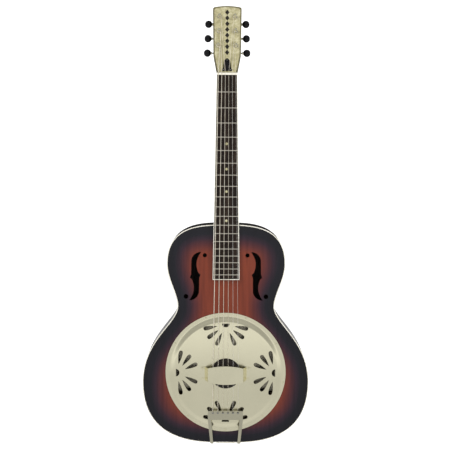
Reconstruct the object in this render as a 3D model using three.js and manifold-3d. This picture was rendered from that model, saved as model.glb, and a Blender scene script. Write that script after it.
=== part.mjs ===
// Six-string resonator guitar: a round-neck wooden body, a spun cone under a pierced cover plate,
// a hinged trapeze tailpiece and open-geared tuners. Millimetres, front facing -Y, neck along +Z.
//
// Everything is drawn in the body frame: x to the treble side, y = 0 on the front of the
// soundboard and positive into the body, z = 0 at the nut and negative down to the tail.
// The last lines move the origin to the place where a wall hanger's yoke holds the headstock.

import * as THREE from 'three';
import { mergeVertices } from 'three/addons/utils/BufferGeometryUtils.js';
import Module from 'manifold-3d';

const wasm = await Module();
wasm.setup();

// ---------------------------------------------------------------- driving dimensions

const GAP = 0.3;                 // clearance between pieces that touch
const SCALE = 635;               // nut to saddle; the body joins at half of it, the 12th fret
const FRETS = 19;

const BODY_TOP = -317;
const BODY_END = -789.5;
const BODY_DEPTH = 78;
const PLATE_THICKNESS = 3;       // soundboard and back
const SIDE_THICKNESS = 5;        // side with its linings
const BINDING = 2;
const UPPER_BOUT = { x: 127, z: -401 };
const WAIST = { x: 104, z: -492 };
const LOWER_BOUT = { x: 179, z: -657 };

const COVER_Z = -635;            // centre of cone, cover plate and hand rest
const COVER_RADIUS = 129.2;
const COVER_SHEET = 1;
const DOME_RADIUS = 118.5;
const DOME_FOOT = 5;             // height of the raised step above the soundboard
const DOME_RISE = 7.6;
const COVER_HOLE = 32.5;
const ROSETTE_RADIUS = 104.5;
const WELL_RADIUS = 121;         // opening in the soundboard
const WELL_OUTSIDE = 128;
const CONE_RADIUS = 120.3;
const F_HOLE = { x: 66, z: -427.3 };
const SMALL_EYE = { x: 45.5, z: -382.4, radius: 4.4 };
const LARGE_EYE = { x: 85.5, z: -471, radius: 4.9 };

const NECK_ANGLE = THREE.MathUtils.degToRad(2);
const HEAD_ANGLE = THREE.MathUtils.degToRad(14);
const BOARD_AT_BODY = 7.5;       // fingerboard face in front of the soundboard at the body joint
const BOARD_LENGTH = 434;
const BOARD_THICKNESS = 6;
const BOARD_BINDING = 1.6;
const NUT_WIDTH = 44.5;
const BOARD_END_WIDTH = 57.2;
const NUT_LENGTH = 5;
const NUT_HEIGHT = 1.2;          // nut top in front of the fingerboard face

const HEAD_LENGTH = 151;
const HEAD_THICKNESS = 14;
const HEAD_SHOULDER = 41;        // where the flare from the nut ends
const HEEL_END = 74;             // back of the heel
const HEEL_FOOT = -301;          // its edge away from the body
const OVERLAY = 2;
const TUNER_ROWS = [51, 84, 117];
const TUNER_TILT = THREE.MathUtils.degToRad(1.8);
const POST_X = 18;
const POST_RADIUS = 3;
const POST_HOLE = 4;
const GEAR_TEETH = 14;
const GEAR_RADIUS = 5.8;         // pitch radius
const WORM_RADIUS = 3;           // pitch radius
const WORM_Y = 19.6;             // worm and gear plane behind the headstock face
const SHAFT_RADIUS = 1.6;
const BUTTON_X = 23.3;           // button centre, outward from the post
const BUTTON_HALF = { x: 7.6, y: 4.3, z: 8.4 };

const SADDLE_TOP = -23.9;
const BAR_TOP = -715.5;          // upper edge of the tailpiece bar
const BAR_FACE = -13.5;
const BAR_BOTTOM = -736;
const BAR_HALF = 37.5;
const HINGE = { y: 16, z: -792.4 };
const HINGE_PIN = 1.3;

const STRING_RADII = [0.71, 0.56, 0.43, 0.31, 0.21, 0.17];   // low E to high E
const NUT_SPREAD = 37;
const BRIDGE_SPREAD = 54;
const YOKE = new THREE.Vector3(0, 20, 14);

// ---------------------------------------------------------------- materials

function finish(color, roughness, metalness = 0) {
  return new THREE.MeshStandardMaterial({ color, roughness, metalness });
}

const SUNBURST = finish(0x7a3826, 0.25);
const DARK_LACQUER = finish(0x26221f, 0.3);
const MAHOGANY = finish(0x6a3a24, 0.6);
const PLYWOOD = finish(0xb98d5c, 0.8);
const STAINED_MAPLE = finish(0x2a201a, 0.6);
const IVORY = finish(0xe8dfc8, 0.4);
const ROSEWOOD = finish(0x3b2a20, 0.55);
const PEARLOID = finish(0xd2cca6, 0.25);
const NICKEL = finish(0xd8d0bc, 0.25, 1);
const SPUN_ALUMINIUM = finish(0xcfd0d0, 0.35, 1);
const STEEL = finish(0x8f8f8f, 0.4, 1);
const BRASS = finish(0xb08d4a, 0.35, 1);
const BLACK_PLASTIC = finish(0x121212, 0.3);
const BRONZE_WIRE = finish(0xb89a6a, 0.35, 1);

// ---------------------------------------------------------------- frames

const guitar = new THREE.Group();
const neckFrame = new THREE.Group();
const headFrame = new THREE.Group();

// Neck frame: y = 0 on the fingerboard face, z = 0 at the nut, leaning back from the body.
neckFrame.position.y = -BOARD_AT_BODY + (SCALE / 2) * Math.tan(NECK_ANGLE);
neckFrame.rotation.x = -NECK_ANGLE;
// Head frame: y = 0 on the wooden face of the headstock, z along it from the nut's back edge.
headFrame.position.set(0, BOARD_THICKNESS, NUT_LENGTH);
headFrame.rotation.x = -HEAD_ANGLE;
neckFrame.add(headFrame);
guitar.add(neckFrame);
guitar.updateMatrixWorld(true);

function piece(name, geometry, material, parent = guitar) {
  const mesh = new THREE.Mesh(geometry, material);
  mesh.name = name;
  parent.add(mesh);
  return mesh;
}

// ---------------------------------------------------------------- geometry helpers

// A closed mesh as a solid: shared corners merged, triangles without area dropped.
function solid(geometry) {
  const bare = geometry.clone();
  bare.deleteAttribute('normal');
  bare.deleteAttribute('uv');
  const merged = mergeVertices(bare);
  const index = merged.index.array;
  const triangles = [];
  for (let i = 0; i < index.length; i += 3) {
    const [a, b, c] = [index[i], index[i + 1], index[i + 2]];
    if (a !== b && b !== c && c !== a) triangles.push(a, b, c);
  }
  return new wasm.Manifold(new wasm.Mesh({
    numProp: 3,
    vertProperties: new Float32Array(merged.attributes.position.array),
    triVerts: new Uint32Array(triangles),
  }));
}

function geometryOf(manifold) {
  const mesh = manifold.getMesh();
  const geometry = new THREE.BufferGeometry();
  geometry.setAttribute('position', new THREE.BufferAttribute(mesh.vertProperties, 3));
  geometry.setIndex(new THREE.BufferAttribute(mesh.triVerts, 1));
  return geometry;
}

function cut(geometry, ...tools) {
  return geometryOf(tools.reduce((body, tool) => body.subtract(solid(tool)), solid(geometry)));
}

function join(...geometries) {
  return geometryOf(geometries.map(solid).reduce((body, next) => body.add(next)));
}

function box(x0, x1, y0, y1, z0, z1) {
  const geometry = new THREE.BoxGeometry(x1 - x0, y1 - y0, z1 - z0);
  return geometry.translate((x0 + x1) / 2, (y0 + y1) / 2, (z0 + z1) / 2);
}

// A rod along x or y between two coordinates of that axis.
function rod(axis, radius, from, to, at, sides = 16) {
  const geometry = new THREE.CylinderGeometry(radius, radius, to - from, sides);
  geometry.translate(0, (from + to) / 2, 0);
  if (axis === 'x') geometry.rotateZ(-Math.PI / 2);
  return geometry.translate(at.x ?? 0, at.y ?? 0, at.z ?? 0);
}

// A flat piece drawn in x and z, from yFront back by its thickness.
function slab(points, yFront, thickness) {
  const shape = new THREE.Shape(points);
  const geometry = new THREE.ExtrudeGeometry(shape, { depth: thickness, bevelEnabled: false });
  geometry.rotateX(Math.PI / 2);
  return geometry.translate(0, yFront + thickness, 0);
}

// The same with holes right through it.
function piercedSlab(points, holes, yFront, thickness) {
  const cutters = holes.map((hole) => slab(hole, yFront - 1, thickness + 2));
  return cut(slab(points, yFront, thickness), ...cutters);
}

// A bent piece drawn as a side profile of y and z, across the width x0 to x1.
function profileBlock(points, x0, x1) {
  const shape = new THREE.Shape(points.map(([y, z]) => new THREE.Vector2(y, z)));
  const geometry = new THREE.ExtrudeGeometry(shape, { depth: x1 - x0, bevelEnabled: false });
  geometry.rotateX(Math.PI / 2);
  geometry.rotateZ(Math.PI / 2);
  return geometry.translate(x0, 0, 0);
}

// A turned piece about the y axis through the cover's centre; the profile of (radius, y)
// goes round the section with its outer side running towards the back.
function turned(profile, segments = 48) {
  const points = profile.map(([r, y]) => new THREE.Vector2(r, y));
  return new THREE.LatheGeometry(points, segments).translate(0, 0, COVER_Z);
}

function circle(x, y, radius, sides = 12) {
  const points = [];
  for (let i = 0; i < sides; i += 1) {
    const angle = (2 * Math.PI * i) / sides;
    points.push(new THREE.Vector2(x + radius * Math.cos(angle), y + radius * Math.sin(angle)));
  }
  return points;
}

function closed(profile) {
  return [...profile, profile[0]];
}

function shift(geometry, move) {
  const position = geometry.attributes.position;
  const point = new THREE.Vector3();
  for (let i = 0; i < position.count; i += 1) {
    point.fromBufferAttribute(position, i);
    move(point);
    position.setXYZ(i, point.x, point.y, point.z);
  }
  return geometry;
}

// A bent strip: both sides of a centre line, kept at the same thickness round the corners.
function strip(points, thickness) {
  const side = (sign) => points.map(([y, z], i) => {
    const before = points[Math.max(i - 1, 0)];
    const after = points[Math.min(i + 1, points.length - 1)];
    const here = new THREE.Vector2(y, z);
    const along = new THREE.Vector2(after[0] - before[0], after[1] - before[1]).normalize();
    const normal = new THREE.Vector2(-along.y, along.x);
    return here.addScaledVector(normal, (sign * thickness) / 2).toArray();
  });
  return [...side(1), ...side(-1).reverse()];
}

// ---------------------------------------------------------------- body outline

// Cubic curves of the treble half, from the neck end round to the tail.
const HALF_OUTLINE = [
  [0, BODY_TOP, 44, BODY_TOP, UPPER_BOUT.x, UPPER_BOUT.z + 88, UPPER_BOUT.x, UPPER_BOUT.z],
  [UPPER_BOUT.x, UPPER_BOUT.z, UPPER_BOUT.x, UPPER_BOUT.z - 33, WAIST.x, WAIST.z + 25, WAIST.x, WAIST.z],
  [WAIST.x, WAIST.z, WAIST.x, WAIST.z - 37, LOWER_BOUT.x, LOWER_BOUT.z + 91, LOWER_BOUT.x, LOWER_BOUT.z],
  [LOWER_BOUT.x, LOWER_BOUT.z, LOWER_BOUT.x, LOWER_BOUT.z - 143, 40, BODY_END, 0, BODY_END],
];
const OUTLINE_STEPS = 7;

function halfOutline(inset) {
  const points = [];
  for (const [ax, az, bx, bz, cx, cz, dx, dz] of HALF_OUTLINE) {
    const curve = new THREE.CubicBezierCurve(
      new THREE.Vector2(ax, az), new THREE.Vector2(bx, bz),
      new THREE.Vector2(cx, cz), new THREE.Vector2(dx, dz),
    );
    const first = points.length === 0 ? 0 : 1;
    for (let i = first; i <= OUTLINE_STEPS; i += 1) {
      const along = curve.getTangent(i / OUTLINE_STEPS);
      const inward = new THREE.Vector2(along.y, -along.x);
      points.push(curve.getPoint(i / OUTLINE_STEPS).addScaledVector(inward, inset));
    }
  }
  return points;
}

function outline(inset) {
  const treble = halfOutline(inset);
  const bass = treble.slice(1, -1).reverse().map((p) => new THREE.Vector2(-p.x, p.y));
  return [...treble, ...bass];
}

// ---------------------------------------------------------------- body

// One half of an f-hole's edge, tip to tip, about the middle of the hole; the other half is
// the same curve turned half a turn.
function fHole(centreX, centreZ, mirror) {
  const half = new THREE.Path();
  half.moveTo(12.6, 52);
  half.bezierCurveTo(4, 52, -7.8, 46, -8.3, 32);
  half.lineTo(-8.6, 4);
  half.lineTo(-11.3, -3);
  half.lineTo(-6.9, -7);
  half.bezierCurveTo(-1.4, -20, 0.6, -34, -12.6, -52);
  const edge = half.getPoints(4);
  const turnedEdge = edge.slice(1, -1).map((p) => p.clone().negate());
  return [...edge, ...turnedEdge].map((p) => new THREE.Vector2(centreX + mirror * p.x, centreZ + p.y));
}

function soundboard() {
  const holes = [circle(0, COVER_Z, WELL_RADIUS, 48)];
  for (const side of [-1, 1]) {
    holes.push(fHole(side * F_HOLE.x, F_HOLE.z, -side));
    for (const eye of [SMALL_EYE, LARGE_EYE]) {
      holes.push(circle(side * eye.x, eye.z, eye.radius));
    }
  }
  return piercedSlab(outline(BINDING + GAP), holes, 0, PLATE_THICKNESS);
}

function bindingRing(yFront) {
  return piercedSlab(outline(0), [outline(BINDING)], yFront, PLATE_THICKNESS);
}

function sideHalf(side) {
  const outer = halfOutline(0);
  const inner = halfOutline(SIDE_THICKNESS).reverse();
  const points = [...outer, ...inner].map((p) => new THREE.Vector2(side * Math.max(p.x, GAP / 2), p.y));
  const depth = BODY_DEPTH - 2 * (PLATE_THICKNESS + GAP);
  return slab(points, PLATE_THICKNESS + GAP, depth);
}

function innerBlock(halfWidth, zTop, zBottom) {
  const yFront = PLATE_THICKNESS + GAP;
  return box(-halfWidth, halfWidth, yFront, BODY_DEPTH - yFront, zBottom, zTop);
}

piece('soundboard', soundboard(), SUNBURST);
const back = slab(outline(BINDING + GAP), BODY_DEPTH - PLATE_THICKNESS, PLATE_THICKNESS);
piece('back_plate', back, DARK_LACQUER);
piece('side_bass', sideHalf(-1), DARK_LACQUER);
piece('side_treble', sideHalf(1), DARK_LACQUER);
piece('top_binding', bindingRing(0), IVORY);
piece('back_binding', bindingRing(BODY_DEPTH - PLATE_THICKNESS), IVORY);
piece('neck_block', innerBlock(32, BODY_TOP - 7, -375), MAHOGANY);
piece('tail_block', innerBlock(38, -765, BODY_END + 7), MAHOGANY);

// ---------------------------------------------------------------- resonator

const LEDGE = 19.3;              // depth of the cone's seat below the soundboard face
const LEDGE_INSIDE = 112;
const LEDGE_BACK = LEDGE + 4;
const PORT_RADIUS = 13;
const PORTS = 6;
const CONE_TOP = -6.8;
const BISCUIT_BACK = -7.1;
const BISCUIT_FACE = -15.1;
const SCREW_BORE = 2.3;
const WELL_BACK = BODY_DEPTH - PLATE_THICKNESS - GAP;

function soundWell() {
  const front = PLATE_THICKNESS + GAP;
  const ring = turned(closed([
    [LEDGE_INSIDE, LEDGE], [WELL_RADIUS, LEDGE], [WELL_RADIUS, front],
    [WELL_OUTSIDE, front], [WELL_OUTSIDE, WELL_BACK], [WELL_RADIUS, WELL_BACK],
    [WELL_RADIUS, LEDGE_BACK], [LEDGE_INSIDE, LEDGE_BACK],
  ]), 32);
  const ports = [];
  for (let i = 0; i < PORTS; i += 1) {
    const middle = { y: (LEDGE_BACK + WELL_BACK) / 2 };
    const port = rod('x', PORT_RADIUS, WELL_RADIUS - 5, WELL_OUTSIDE + 5, middle, 8);
    port.rotateY((2 * Math.PI * i) / PORTS);
    ports.push(port.translate(0, 0, COVER_Z));
  }
  return cut(ring, ...ports);
}

function resonatorCone() {
  return turned(closed([
    [SCREW_BORE, CONE_TOP], [32, CONE_TOP], [70, 8.5], [108, 18], [CONE_RADIUS, 18],
    [CONE_RADIUS, 19], [107.6, 19], [69.6, 9.5], [31.6, CONE_TOP + 1], [SCREW_BORE, CONE_TOP + 1],
  ]), 32);
}

const biscuitProfile = [
  [0, BISCUIT_FACE], [31, BISCUIT_FACE], [31, BISCUIT_BACK],
  [SCREW_BORE, BISCUIT_BACK], [SCREW_BORE, BISCUIT_FACE + 2], [0, BISCUIT_FACE + 2],
];
const screwProfile = [
  [0, BISCUIT_FACE + 3], [2, BISCUIT_FACE + 3], [2, CONE_TOP + 1.3],
  [4, CONE_TOP + 1.3], [3, CONE_TOP + 3.6], [0, CONE_TOP + 3.6],
];

piece('sound_well', soundWell(), PLYWOOD);
piece('resonator_cone', resonatorCone(), SPUN_ALUMINIUM);
piece('biscuit', turned(biscuitProfile, 32), STAINED_MAPLE);
piece('biscuit_screw', turned(screwProfile, 12), STEEL);
const saddle = box(-31, 31, SADDLE_TOP, BISCUIT_FACE - GAP, COVER_Z - 3.2, COVER_Z);
piece('saddle', saddle, STAINED_MAPLE);

// ---------------------------------------------------------------- cover plate and hand rest

function domeFront(r) {
  return -(DOME_FOOT + DOME_RISE * (1 - (r / DOME_RADIUS) ** 2));
}

// A teardrop from its point near the rosette's middle to its round outer end.
function petal(angle) {
  const drop = new THREE.Path();
  drop.moveTo(0, 19);
  drop.quadraticCurveTo(3.2, 33, 3.9, 42.5);
  drop.quadraticCurveTo(3.6, 48, 0, 48.5);
  drop.quadraticCurveTo(-3.6, 48, -3.9, 42.5);
  drop.quadraticCurveTo(-3.2, 33, 0, 19);
  const points = drop.getPoints(2).slice(0, -1);
  const middle = new THREE.Vector2(0, 0);
  return points.map((p) => p.rotateAround(middle, angle));
}

// The half-round hole beside each fan of petals, flat towards the rim.
function halfMoon() {
  const points = [];
  for (let i = 0; i <= 6; i += 1) {
    const angle = (i * Math.PI) / 6;
    points.push(new THREE.Vector2(8 * Math.cos(angle), -2 + 7.5 * Math.sin(angle)));
  }
  return points;
}

const PETAL_ANGLES = [-79, -53, -25, 25, 53, 79].map(THREE.MathUtils.degToRad);

function rosetteCutters() {
  const outlines = [...PETAL_ANGLES.map(petal), halfMoon()];
  const cutters = [];
  for (let quarter = 0; quarter < 4; quarter += 1) {
    for (const points of outlines) {
      const placed = points.map((p) => {
        const q = new THREE.Vector2(p.x, p.y - ROSETTE_RADIUS);
        return q.rotateAround(new THREE.Vector2(0, 0), (quarter * Math.PI) / 2);
      });
      cutters.push(slab(placed, -20, 22).translate(0, 0, COVER_Z));
    }
  }
  return cutters;
}

function coverPlate() {
  const radii = [COVER_HOLE, 65, 95, DOME_RADIUS];
  const front = radii.map((r) => [r, domeFront(r)]);
  const rim = [[WELL_RADIUS, -COVER_SHEET - GAP], [COVER_RADIUS, -COVER_SHEET - GAP]];
  const back = [...front, ...rim].reverse().map(([r, y]) => [r, y + COVER_SHEET]);
  return cut(turned(closed([...front, ...rim, ...back]), 44), ...rosetteCutters());
}

// An arch over the saddle: flat tabs screwed to the cover, upright ends and a bowed top.
function handRest() {
  const end = 39.7;
  const sheet = 1.2;
  const tab = domeFront(41) - GAP;
  const crest = -34.7;
  const shoulder = -32.7;
  const outer = [[53, tab - sheet], [end, tab - sheet], [end, shoulder]];
  const inner = [[end - sheet, shoulder + sheet], [end - sheet, tab], [53, tab]];
  const mirrorX = (points) => points.map(([x, y]) => [-x, y]).reverse();
  const arch = [
    ...outer, [20, crest + 0.5], [0, crest], [-20, crest + 0.5], ...mirrorX(outer),
    ...mirrorX(inner), [-20, crest + 0.5 + sheet], [0, crest + sheet], [20, crest + 0.5 + sheet],
    ...inner,
  ];
  const section = new THREE.Shape(arch.map(([x, y]) => new THREE.Vector2(x, y)));
  const long = new THREE.ExtrudeGeometry(section, { depth: 44, bevelEnabled: false });
  long.translate(0, 0, COVER_Z - 22);
  const barrel = [[56, 13.5], [end, 13.5], [26, 17.4], [13, 19.4], [0, 20]];
  const upper = [...barrel, ...mirrorX(barrel).slice(1)];
  const lower = upper.map(([x, z]) => [x, -z]).reverse();
  const plan = [...upper, ...lower].map(([x, z]) => new THREE.Vector2(x, COVER_Z + z));
  return geometryOf(solid(long).intersect(solid(slab(plan, -40, 40))));
}

piece('cover_plate', coverPlate(), NICKEL);
piece('hand_rest', handRest(), NICKEL);

// ---------------------------------------------------------------- neck

function boardWidth(z) {
  return NUT_WIDTH + ((BOARD_END_WIDTH - NUT_WIDTH) * -z) / BOARD_LENGTH;
}

function boardOutline(inset) {
  const end = -BOARD_LENGTH + inset;
  const atNut = boardWidth(0) / 2 - inset;
  const atEnd = boardWidth(end) / 2 - inset;
  return [[-atNut, 0], [-atEnd, end], [atEnd, end], [atNut, 0]].map(([x, z]) => new THREE.Vector2(x, z));
}

function fretPlace(n) {
  return -SCALE * (1 - 2 ** (-n / 12));
}

// The board and its frets are one solid here; each fret is a bar let into the face.
function fingerboard() {
  const inset = BOARD_BINDING + GAP;
  const bars = [];
  for (let n = 1; n <= FRETS; n += 1) {
    const z = fretPlace(n);
    const half = boardWidth(z) / 2 - inset;
    bars.push(box(-half, half, -1, 0.5, z - 1.1, z + 1.1));
  }
  return join(slab(boardOutline(inset), 0, BOARD_THICKNESS), ...bars);
}

function headHalfWidth(z) {
  if (z < HEAD_SHOULDER) return 22.2 + (7.1 * z) / HEAD_SHOULDER;
  return 29.3 + (1.7 * (z - HEAD_SHOULDER)) / (HEAD_LENGTH - HEAD_SHOULDER);
}

function headSlab(zStart, yFront, thickness) {
  const corner = HEAD_LENGTH - 6.5;
  const treble = [zStart, HEAD_SHOULDER, corner].map((z) => [headHalfWidth(z), z]);
  const rounding = [[29.6, HEAD_LENGTH - 3.6], [26.4, HEAD_LENGTH - 2]];
  const crest = [...rounding, [18, HEAD_LENGTH - 0.9], [9, HEAD_LENGTH - 0.2], [0, HEAD_LENGTH]];
  const half = [...treble, ...crest];
  const bass = half.slice(0, -1).reverse().map(([x, z]) => [-x, z]);
  const edge = [...half, ...bass].map(([x, z]) => new THREE.Vector2(x, z));
  const holes = [];
  for (const side of [-1, 1]) {
    for (const row of TUNER_ROWS) {
      const post = postSpot(side, row);
      holes.push(circle(post.x, post.z, POST_HOLE));
    }
  }
  return piercedSlab(edge, holes, yFront, thickness);
}

// Where the post above a shaft's row passes through the headstock, on the tilted line of posts.
function postSpot(side, row) {
  const middle = TUNER_ROWS[1];
  const angle = -side * TUNER_TILT;
  const along = row + GEAR_RADIUS + WORM_RADIUS - middle;
  return { x: side * POST_X + along * Math.sin(angle), z: middle + along * Math.cos(angle) };
}

function neckShaft() {
  const halfNut = NUT_WIDTH / 2;
  const depthAtNut = 14.5;
  const section = new THREE.Shape();
  section.moveTo(halfNut, 0);
  section.absellipse(0, 0, halfNut, depthAtNut, 0, Math.PI, false);
  const points = section.getPoints(6);
  const top = 14;
  const bottom = -325;
  const options = { depth: top - bottom, steps: 4, bevelEnabled: false };
  const shaft = new THREE.ExtrudeGeometry(new THREE.Shape(points), options);
  shaft.translate(0, 0, bottom);
  return shift(shaft, (p) => {
    const z = Math.min(p.z, 0);
    p.x *= boardWidth(z) / NUT_WIDTH;
    p.y = BOARD_THICKNESS + GAP + p.y * (1 - z / 1600);
  });
}

// The heel sweeps out of the shaft's back and narrows towards its cap.
function neckHeel() {
  const front = 12;
  const start = -244;
  const halfWidth = 26;
  const back = new THREE.Path();
  back.moveTo(HEEL_END, BODY_TOP - 4);
  back.lineTo(HEEL_END, HEEL_FOOT);
  back.bezierCurveTo(48, HEEL_FOOT + 1, 34, -276, 22, start);
  const points = back.getPoints(6).map((p) => p.toArray());
  const edge = [...points, [front, start], [front, BODY_TOP - 4]];
  return shift(profileBlock(edge, -halfWidth, halfWidth), (p) => {
    p.x *= 1 - (0.45 * Math.max(p.y - front, 0)) / (HEEL_END - front);
  });
}

const ROD_HALF = 2.9;
const ROD_END = 14;              // the truss rod's nut, in the pocket behind the nut
const ROD_START = -299;
const ROD_FRONT = BOARD_THICKNESS + 0.7;
const ROD_BACK = 15.2;

function rodChannel() {
  const half = ROD_HALF + GAP;
  return box(-half, half, -5, ROD_BACK + GAP, ROD_START - GAP, ROD_END + 2);
}

function neckWood() {
  const toBody = (geometry, frame) => geometry.applyMatrix4(frame.matrixWorld);
  const inFront = box(-40, 40, -30, 0, -1, 60);
  const head = toBody(headSlab(0.05, 0, HEAD_THICKNESS), headFrame);
  const shaft = cut(toBody(neckShaft(), neckFrame), toBody(inFront, headFrame));
  const wood = join(shaft, head, neckHeel());
  const belowBody = box(-60, 60, -40, 120, -400, BODY_TOP + GAP);
  return cut(wood, belowBody, toBody(rodChannel(), neckFrame));
}

function overlay() {
  const channel = rodChannel().applyMatrix4(headFrame.matrix.clone().invert());
  return cut(headSlab(0.5, -OVERLAY - GAP, OVERLAY), channel);
}

// A small bell-shaped cover over the truss rod's pocket.
function rodCover() {
  const bell = new THREE.Shape();
  bell.moveTo(-10.5, 3);
  bell.lineTo(10.5, 3);
  bell.quadraticCurveTo(7.5, 12, 7, 20);
  bell.quadraticCurveTo(6, 29, 0, 31.5);
  bell.quadraticCurveTo(-6, 29, -7, 20);
  bell.quadraticCurveTo(-7.5, 12, -10.5, 3);
  return slab(bell.getPoints(5).slice(0, -1), -OVERLAY - 2 * GAP - 2, 2);
}

function boardBinding() {
  const outer = boardOutline(0);
  const inner = boardOutline(BOARD_BINDING).reverse();
  return slab([...outer, ...inner], 0, BOARD_THICKNESS);
}

// The wedge between the soundboard and the fingerboard's free end.
function boardShim() {
  const z0 = BODY_TOP - 3;
  const z1 = -BOARD_LENGTH + 2;
  const under = (z) => neckFrame.position.y + (z * Math.tan(NECK_ANGLE)) + BOARD_THICKNESS + GAP + 0.1;
  return profileBlock([[under(z0), z0], [under(z1), z1], [-GAP, z1], [-GAP, z0]], -24, 24);
}

piece('neck', neckWood(), DARK_LACQUER);
piece('heel_cap', box(-14, 14, HEEL_END + GAP, HEEL_END + 3, BODY_TOP + GAP, HEEL_FOOT), IVORY);
piece('truss_rod', box(-ROD_HALF, ROD_HALF, ROD_FRONT, ROD_BACK, ROD_START, ROD_END), STEEL, neckFrame);
piece('truss_rod_cover', rodCover(), BLACK_PLASTIC, headFrame);
piece('headstock_overlay', overlay(), PEARLOID, headFrame);
const nutBlock = box(-NUT_WIDTH / 2, NUT_WIDTH / 2, -NUT_HEIGHT, BOARD_THICKNESS, GAP, NUT_LENGTH);
piece('nut', nutBlock, IVORY, neckFrame);
piece('fingerboard', fingerboard(), ROSEWOOD, neckFrame);
piece('fingerboard_binding', boardBinding(), IVORY, neckFrame);
piece('fingerboard_shim', boardShim(), DARK_LACQUER);

// ---------------------------------------------------------------- tailpiece

const LEG_SHEET = 1.4;
const LEG_HALF = 3;
const LEG_LINE = [[-12.5, BAR_BOTTOM + 1], [-3.2, -787.5], [0.4, -791.3], [HINGE.y, -791.3]];

function stringX(index, spread) {
  return spread * (index / (STRING_RADII.length - 1) - 0.5);
}

// A leg spreads outward from the hinge to the bar.
function tailLeg(side) {
  const leg = profileBlock(strip(LEG_LINE, LEG_SHEET), -LEG_HALF, LEG_HALF);
  const eye = rod('x', 2.8, -LEG_HALF, LEG_HALF, HINGE, 14);
  return shift(join(leg, eye), (p) => {
    const up = Math.max(p.z - HINGE.z, 0) / (BAR_BOTTOM + 1 - HINGE.z);
    p.x = p.x * (1 + 0.25 * up) + side * (29 + 5 * up);
  });
}

function tailpiece() {
  const lipTop = -18.5;
  const bar = box(-BAR_HALF, BAR_HALF, BAR_FACE, BAR_FACE + 2, BAR_BOTTOM, BAR_TOP);
  const lip = box(-BAR_HALF, BAR_HALF, lipTop, BAR_FACE + 1, BAR_TOP - 2, BAR_TOP);
  const slots = STRING_RADII.map((radius, i) => {
    const x = stringX(i, BRIDGE_SPREAD);
    return box(x - radius - 0.5, x + radius + 0.5, lipTop - 1, BAR_FACE - 1.2, BAR_TOP - 3, BAR_TOP + 1);
  });
  const bore = rod('x', HINGE_PIN + GAP, -45, 45, HINGE, 14);
  return cut(join(bar, lip, tailLeg(-1), tailLeg(1)), ...slots, bore);
}

function tailHanger() {
  const face = BODY_END - GAP;
  const plate = box(-20, 20, HINGE.y - 1, 60, face - LEG_SHEET, face);
  const knuckle = rod('x', 2.6, -20, 20, HINGE, 14);
  const bore = rod('x', HINGE_PIN + GAP, -30, 30, HINGE, 14);
  return cut(join(plate, knuckle), bore);
}

function strapButton() {
  const base = BODY_END - LEG_SHEET - 2 * GAP;
  const profile = [[0, 0], [6.5, 0], [6.5, 1.5], [4, 3], [4, 6], [7, 7.6], [7, 9], [0, 9]];
  const points = profile.map(([r, h]) => new THREE.Vector2(r, h));
  const button = new THREE.LatheGeometry(points, 14);
  button.rotateX(-Math.PI / 2);
  return button.translate(0, 44, base);
}

piece('tailpiece', tailpiece(), NICKEL);
piece('tail_hanger', tailHanger(), NICKEL);
piece('tail_hinge_pin', rod('x', HINGE_PIN, -33.5, 33.5, HINGE, 10), STEEL);
piece('strap_button', strapButton(), NICKEL);

// ---------------------------------------------------------------- tuners

const WORM_PITCH = (2 * Math.PI * GEAR_RADIUS) / GEAR_TEETH;
const WORM_LEAD = WORM_PITCH / (2 * Math.PI * WORM_RADIUS);
const WORM_ROOT = 2.4;
const WORM_CREST = 3.6;
const WORM_HALF = 4.4;
const GEAR_ROOT = 4.9;
const GEAR_TIP = 6.1;
const GEAR_WIDTH = 3;

// A screw thread on a round core: the crest meets the gear at x = 0.
function worm() {
  const stations = 14;
  const around = 10;
  const geometry = new THREE.CylinderGeometry(1, 1, 2 * WORM_HALF, around, stations);
  geometry.rotateZ(-Math.PI / 2);
  return shift(geometry, (p) => {
    const radius = Math.hypot(p.y, p.z);
    if (radius < 0.5) return;
    const turn = Math.atan2(p.z, p.y) / (2 * Math.PI) - 0.25;
    const phase = p.x / WORM_PITCH - turn;
    const fromCrest = Math.abs(phase - Math.round(phase));
    const rise = THREE.MathUtils.clamp((0.26 - fromCrest) / 0.12, 0, 1);
    const reach = WORM_ROOT + (WORM_CREST - WORM_ROOT) * rise;
    p.y *= reach / radius;
    p.z *= reach / radius;
  });
}

function gearWheel() {
  const pitch = (2 * Math.PI) / GEAR_TEETH;
  const corners = [[-0.26, GEAR_ROOT], [-0.12, GEAR_TIP], [0.12, GEAR_TIP], [0.26, GEAR_ROOT]];
  const points = [];
  for (let tooth = 0; tooth < GEAR_TEETH; tooth += 1) {
    for (const [part, radius] of corners) {
      const angle = -Math.PI / 2 + (tooth + 0.5 + part) * pitch;
      points.push(new THREE.Vector2(radius * Math.cos(angle), radius * Math.sin(angle)));
    }
  }
  const bore = circle(0, 0, POST_RADIUS + GAP);
  const gear = piercedSlab(points, [bore], -GEAR_WIDTH / 2, GEAR_WIDTH);
  return shift(gear, (p) => {
    const twist = (WORM_LEAD * p.y) / GEAR_RADIUS;
    p.applyAxisAngle(new THREE.Vector3(0, 1, 0), twist);
  });
}

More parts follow.
